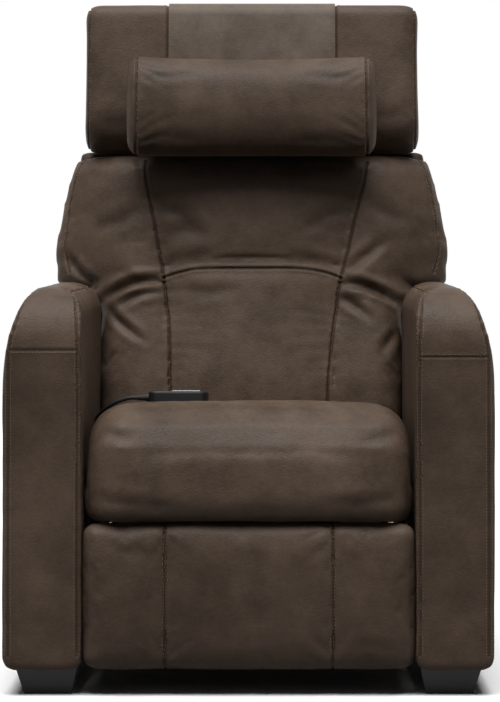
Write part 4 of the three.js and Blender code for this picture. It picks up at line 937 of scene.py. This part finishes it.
swell(
    back,
    held_to_board,
    push=4.5,
    slack=0.002,
    reach=0.009,
)
back_outline = (
    (0.64, 0.347), (0.66, 0.355), (0.70, 0.357), (0.75, 0.353), (0.804, 0.343),
    (0.84, 0.335), (0.87, 0.324), (0.89, 0.314),
)
fit_width(back, back_outline, 0.2)
finer(back)
uneven(back, 0.0008, 7, 5.3)
back_folds = [
    fold(
        0.0075, 0.0090, (-0.158, 0.186, 0.655), (-0.187, 0.174, 0.659), (-0.218, 0.172, 0.655),
        (-0.247, 0.175, 0.642), (-0.272, 0.180, 0.628),
    ),
    fold(
        0.0070, 0.0045, (-0.150, 0.170, 0.640), (-0.180, 0.165, 0.641), (-0.212, 0.158, 0.632),
        (-0.245, 0.156, 0.612),
    ),
    fold(
        0.0068, 0.0050, (-0.262, 0.170, 0.612), (-0.240, 0.155, 0.590), (-0.212, 0.145, 0.566),
        (-0.190, 0.140, 0.550),
    ),
    fold(
        0.0072, 0.0058, (-0.335, 0.235, 0.705), (-0.322, 0.215, 0.684), (-0.305, 0.200, 0.664),
        (-0.284, 0.187, 0.642),
    ),
    fold(
        0.0075, 0.0090, (0.161, 0.184, 0.655), (0.203, 0.172, 0.650), (0.248, 0.172, 0.633),
        (0.276, 0.182, 0.616),
    ),
    fold(0.0080, 0.0045, (0.168, 0.183, 0.675), (0.204, 0.187, 0.703), (0.240, 0.198, 0.732)),
    fold(0.0072, 0.0045, (0.154, 0.172, 0.632), (0.184, 0.160, 0.616), (0.214, 0.152, 0.590)),
    fold(0.008, 0.0040, (0.262, 0.158, 0.570), (0.246, 0.148, 0.552), (0.229, 0.134, 0.530)),
    fold(0.011, 0.0026, (-0.172, 0.212, 0.80), (-0.136, 0.206, 0.782), (-0.100, 0.198, 0.752)),
    fold(0.011, 0.0024, (-0.160, 0.203, 0.735), (-0.120, 0.194, 0.748), (-0.075, 0.190, 0.742)),
    fold(0.011, 0.0022, (0.178, 0.212, 0.79), (0.135, 0.205, 0.775), (0.09, 0.196, 0.748)),
    fold(0.009, 0.0020, (-0.155, 0.190, 0.695), (-0.11, 0.184, 0.703), (-0.06, 0.18, 0.706)),
    fold(0.009, 0.0020, (0.150, 0.186, 0.692), (0.10, 0.182, 0.700), (0.05, 0.18, 0.703)),
    fold(0.010, 0.0018, (-0.14, 0.172, 0.644), (-0.08, 0.166, 0.640), (-0.02, 0.163, 0.646)),
    fold(0.012, 0.0024, (-0.20, 0.212, 0.79), (-0.24, 0.215, 0.765), (-0.285, 0.226, 0.755)),
    fold(0.012, 0.0024, (0.21, 0.212, 0.80), (0.25, 0.222, 0.775), (0.29, 0.232, 0.765)),
]


def wing_edge(side):
    """The outer seam of a back wing, where its front joins the boxing strip."""
    return [(side * x, y, z) for x, y, z in (
        (0.303, 0.286, 0.876), (0.314, 0.272, 0.835), (0.323, 0.262, 0.790),
        (0.330, 0.250, 0.745), (0.334, 0.238, 0.705), (0.330, 0.222, 0.672),
    )]


press(back, [
    (upper_left, 0.0022, 0.0030, 0.0004, False),
    (upper_right, 0.0022, 0.0030, 0.0004, False),
    (arch, 0.0022, 0.0026, 0.0004, False),
    (lower_left, 0.0022, 0.0030, 0.0004, False),
    (lower_right, 0.0022, 0.0030, 0.0004, False),
    (wing_edge(-1), 0.0022, 0.0022, 0.0006, False),
    (wing_edge(1), 0.0022, 0.0022, 0.0006, False),
    *back_folds,
])
dress(back, "back", 0.85, "back_cushion")
stitches("back_stitching", back, [
    (wing_edge(side), aside) for side in (-1, 1) for aside in (-beside_seam, beside_seam)
], "back")


# Back shell: a thin padded cover over the rear of the back, from wing to wing. Two upright
# seams run down it.

shell = even_skin(solid_copy("back_shell"), "back_cover", 0.007, 3)
finer(shell)
uneven(shell, 0.0008, 7, 6.1)


def down_shell(x):
    """An upright seam of the rear cover."""
    return [(x, y, z) for y, z in (
        (0.360, 0.84), (0.335, 0.74), (0.290, 0.55), (0.245, 0.36), (0.215, 0.21),
    )]


shell_seams = (-0.19, 0.19)
press(shell, [(down_shell(x), 0.0022, 0.0022, 0.0006, False) for x in shell_seams])
dress(shell, "back", 0.8, "back_shell")
stitches("back_cover_stitching", shell, [
    (down_shell(x), aside) for x in shell_seams for aside in (-beside_seam, beside_seam)
], "back")


# Headrest: a tall foam pad in fitted leather, its two ends set in by a seam all round. Two pressed
# lines run round it beside the pillow's strap, grooved and darkened as painted shadow of its edges.

head = even_skin(solid_copy("headrest_cushion"), "headrest_pad", 0.006, 3)
head_middle = (0.318, 1.02)


def ring_round(piece, middle, x, count):
    """A ring all round a piece at a distance from the chair's middle, found from inside: a seam, or
    a line of painted shadow.
    """
    skin = skin_of(piece)
    ring = []
    for step in range(count + 1):
        turn = 2 * math.pi * step / count
        way = Vector((0, math.sin(turn), math.cos(turn)))
        ring.append(tuple(skin.ray_cast(Vector((x, *middle)), way)[0]))
    return ring


head_end = 0.2965
beside_strap = 0.1535


def headrest_hold(place):
    """How firmly the headrest's leather is held: fully at its foot, hinge and end seams."""
    at_hinge = abs(place.x) < 0.03 and place.y > 0.3 and place.z < 0.97
    at_seam = abs(abs(place.x) - head_end) < 0.006
    return 1.0 if place.z < 0.885 or at_hinge or at_seam else 0.3


swell(
    head,
    headrest_hold,
    push=4,
    slack=0.0,
    reach=0.004,
)
finer(head)
uneven(head, 0.0010, 7, 7.7)
head_rings = [ring_round(head, head_middle, x, 60) for x in (-head_end, head_end)]
# The lines beside the strap are pressed in and carry painted shade, standing for the shadow of the
# strap's edges.
strap_edge_shadow_rings = [ring_round(head, head_middle, x, 60) for x in (-beside_strap, beside_strap)]
press(head, [
    *[(ring, 0.0018, 0.0022, 0.0003, False) for ring in head_rings],
    *[(ring, 0.0020, 0.0020, 0, False) for ring in strap_edge_shadow_rings],
    fold(0.012, 0.0018, (-0.28, 0.262, 0.955), (-0.25, 0.252, 0.945), (-0.20, 0.248, 0.948)),
    fold(0.012, 0.0018, (0.28, 0.262, 0.965), (0.24, 0.252, 0.955), (0.19, 0.248, 0.960)),
])
dress(head, "headrest", 0.9, "headrest_cushion")
head_rows = list(zip(head_rings, (-0.0042, 0.0042)))
stitches("headrest_stitching", head, head_rows, "headrest")


# Pillow strap: a broad doubled band of the same leather over the headrest, its two long edges
# folded under and stitched.

band_form = solid_copy("pillow_strap")
bmesh.ops.dissolve_limit(
    band_form, angle_limit=math.radians(1), verts=band_form.verts, edges=band_form.edges
)
strap_half = 0.152
strap_strips = 24
for step in range(1, strap_strips):
    across = -strap_half + 2 * strap_half * step / strap_strips
    geometry = band_form.verts[:] + band_form.edges[:] + band_form.faces[:]
    bmesh.ops.bisect_plane(band_form, geom=geometry, plane_co=(across, 0, 0), plane_no=(1, 0, 0))
bmesh.ops.triangulate(band_form, faces=[face for face in band_form.faces if len(face.verts) > 4])
band = as_piece(band_form, "strap_band")
band_edge = band.modifiers.new("edges", "BEVEL")
band_edge.width = 0.0012
band_edge.segments = 3
band_edge.limit_method = "ANGLE"
band_edge.angle_limit = math.radians(50)
settle(band)
strap_leather = leather_material(
    "strap leather", colour(68, 58, 50), colour(106, 94, 84), 600.0, 0.0004
)
put_material(band, strap_leather)
smooth(band)
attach(band, "headrest")
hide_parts("pillow_strap")


def over_strap(x):
    """A line of stitches along the strap, over the headrest from front to rear."""
    skin = skin_of(band)
    line = []
    for step in range(40):
        turn = math.radians(-104 + 222 * step / 39)
        way = Vector((0, math.sin(turn), math.cos(turn)))
        found = skin.ray_cast(Vector((x, *head_middle)) + way * 0.6, -way)[0]
        if found:
            line.append(tuple(found))
    return line


stitches("strap_stitching", band, [(over_strap(x), 0) for x in (-0.146, 0.146)], "headrest", 0.006)


# Head pillow: a soft stuffed pillow with a strip let in round each end. It hangs on the strap and
# leans on the headrest.

pillow_play = 0.0028
pillow = even_skin(solid_copy("head_pillow"), "pillow_pad", 0.0045, 3)
for vertex in pillow.data.vertices:
    if vertex.normal.y > 0.3:
        vertex.co -= vertex.normal * pillow_play
pillow_end = 0.206
pillow_middle = (0.192, 0.972)
swell(
    pillow,
    lambda place: place.y > 0.225 or abs(abs(place.x) - pillow_end) < 0.004,
    push=4,
    slack=0.0,
    reach=0.004,
)
finer(pillow)
uneven(pillow, 0.0006, 9, 8.8)
pillow_rings = [ring_round(pillow, pillow_middle, x, 48) for x in (-pillow_end, pillow_end)]
press(pillow, [
    *[(ring, 0.0020, 0.0024, 0.0004, False) for ring in pillow_rings],
    fold(0.008, 0.0011, (-0.19, 0.148, 1.03), (-0.15, 0.150, 1.028), (-0.10, 0.15, 1.034)),
    fold(0.008, 0.0011, (0.19, 0.148, 1.03), (0.15, 0.150, 1.026), (0.09, 0.15, 1.032)),
    fold(0.009, 0.0011, (-0.20, 0.150, 0.91), (-0.15, 0.146, 0.918), (-0.09, 0.146, 0.914)),
    fold(0.009, 0.0011, (0.20, 0.150, 0.905), (0.14, 0.146, 0.914), (0.08, 0.146, 0.911)),
])
dress(pillow, "pillow", 0.75, "head_pillow")
pillow_rows = list(zip(pillow_rings, (-0.004, 0.004)))
stitches("pillow_stitching", pillow, pillow_rows, "pillow")


# Counterweight: a flat sewn pouch of shot on the strap's rear end, which balances the pillow. Its
# hem is sewn all round its rear face.

pouch = even_skin(solid_copy("strap_counterweight"), "weight_pouch", 0.0045, 3)
finer(pouch)
uneven(pouch, 0.0010, 22, 9.4)
pouch_hem = [(x, 0.41, z) for x, z in (
    (-0.142, 0.990), (0.142, 0.990), (0.142, 1.084), (-0.142, 1.084), (-0.142, 0.990),
)]
pouch_lines = [list(pair) for pair in zip(pouch_hem, pouch_hem[1:])]
press(pouch, [(line, 0.0022, 0.0018, 0.0008, False) for line in pouch_lines])
dress(pouch, "counterweight", 0.7, "strap_counterweight")
stitches("pouch_stitching", pouch, [(line, 0.004) for line in pouch_lines], "counterweight")


# Handset: a flat moulded case that lies on the seat, with a bright keypad plate and four rubbery
# buttons. Its boot is the cord's strain relief.

bright_trim = moulded_material(
    "bright keypad trim", colour(186, 188, 190), colour(222, 224, 226), 0.2, 0.32, 600, 0.00005, 0.9
)
case_plastic = moulded_material(
    "case plastic", colour(22, 22, 23), colour(34, 34, 36), 0.34, 0.5, 1100, 0.0001
)
finish(case_plastic, "black_plastic", "handset_body")
finish(bright_trim, "silver_trim", "handset_keypad")
finish(soft_rubber, "rubber", "handset_boot")
buttons = [f"button_{row}_{end}" for row in ("upper", "lower") for end in ("front", "rear")]
finish(soft_rubber, "rubber", *buttons)
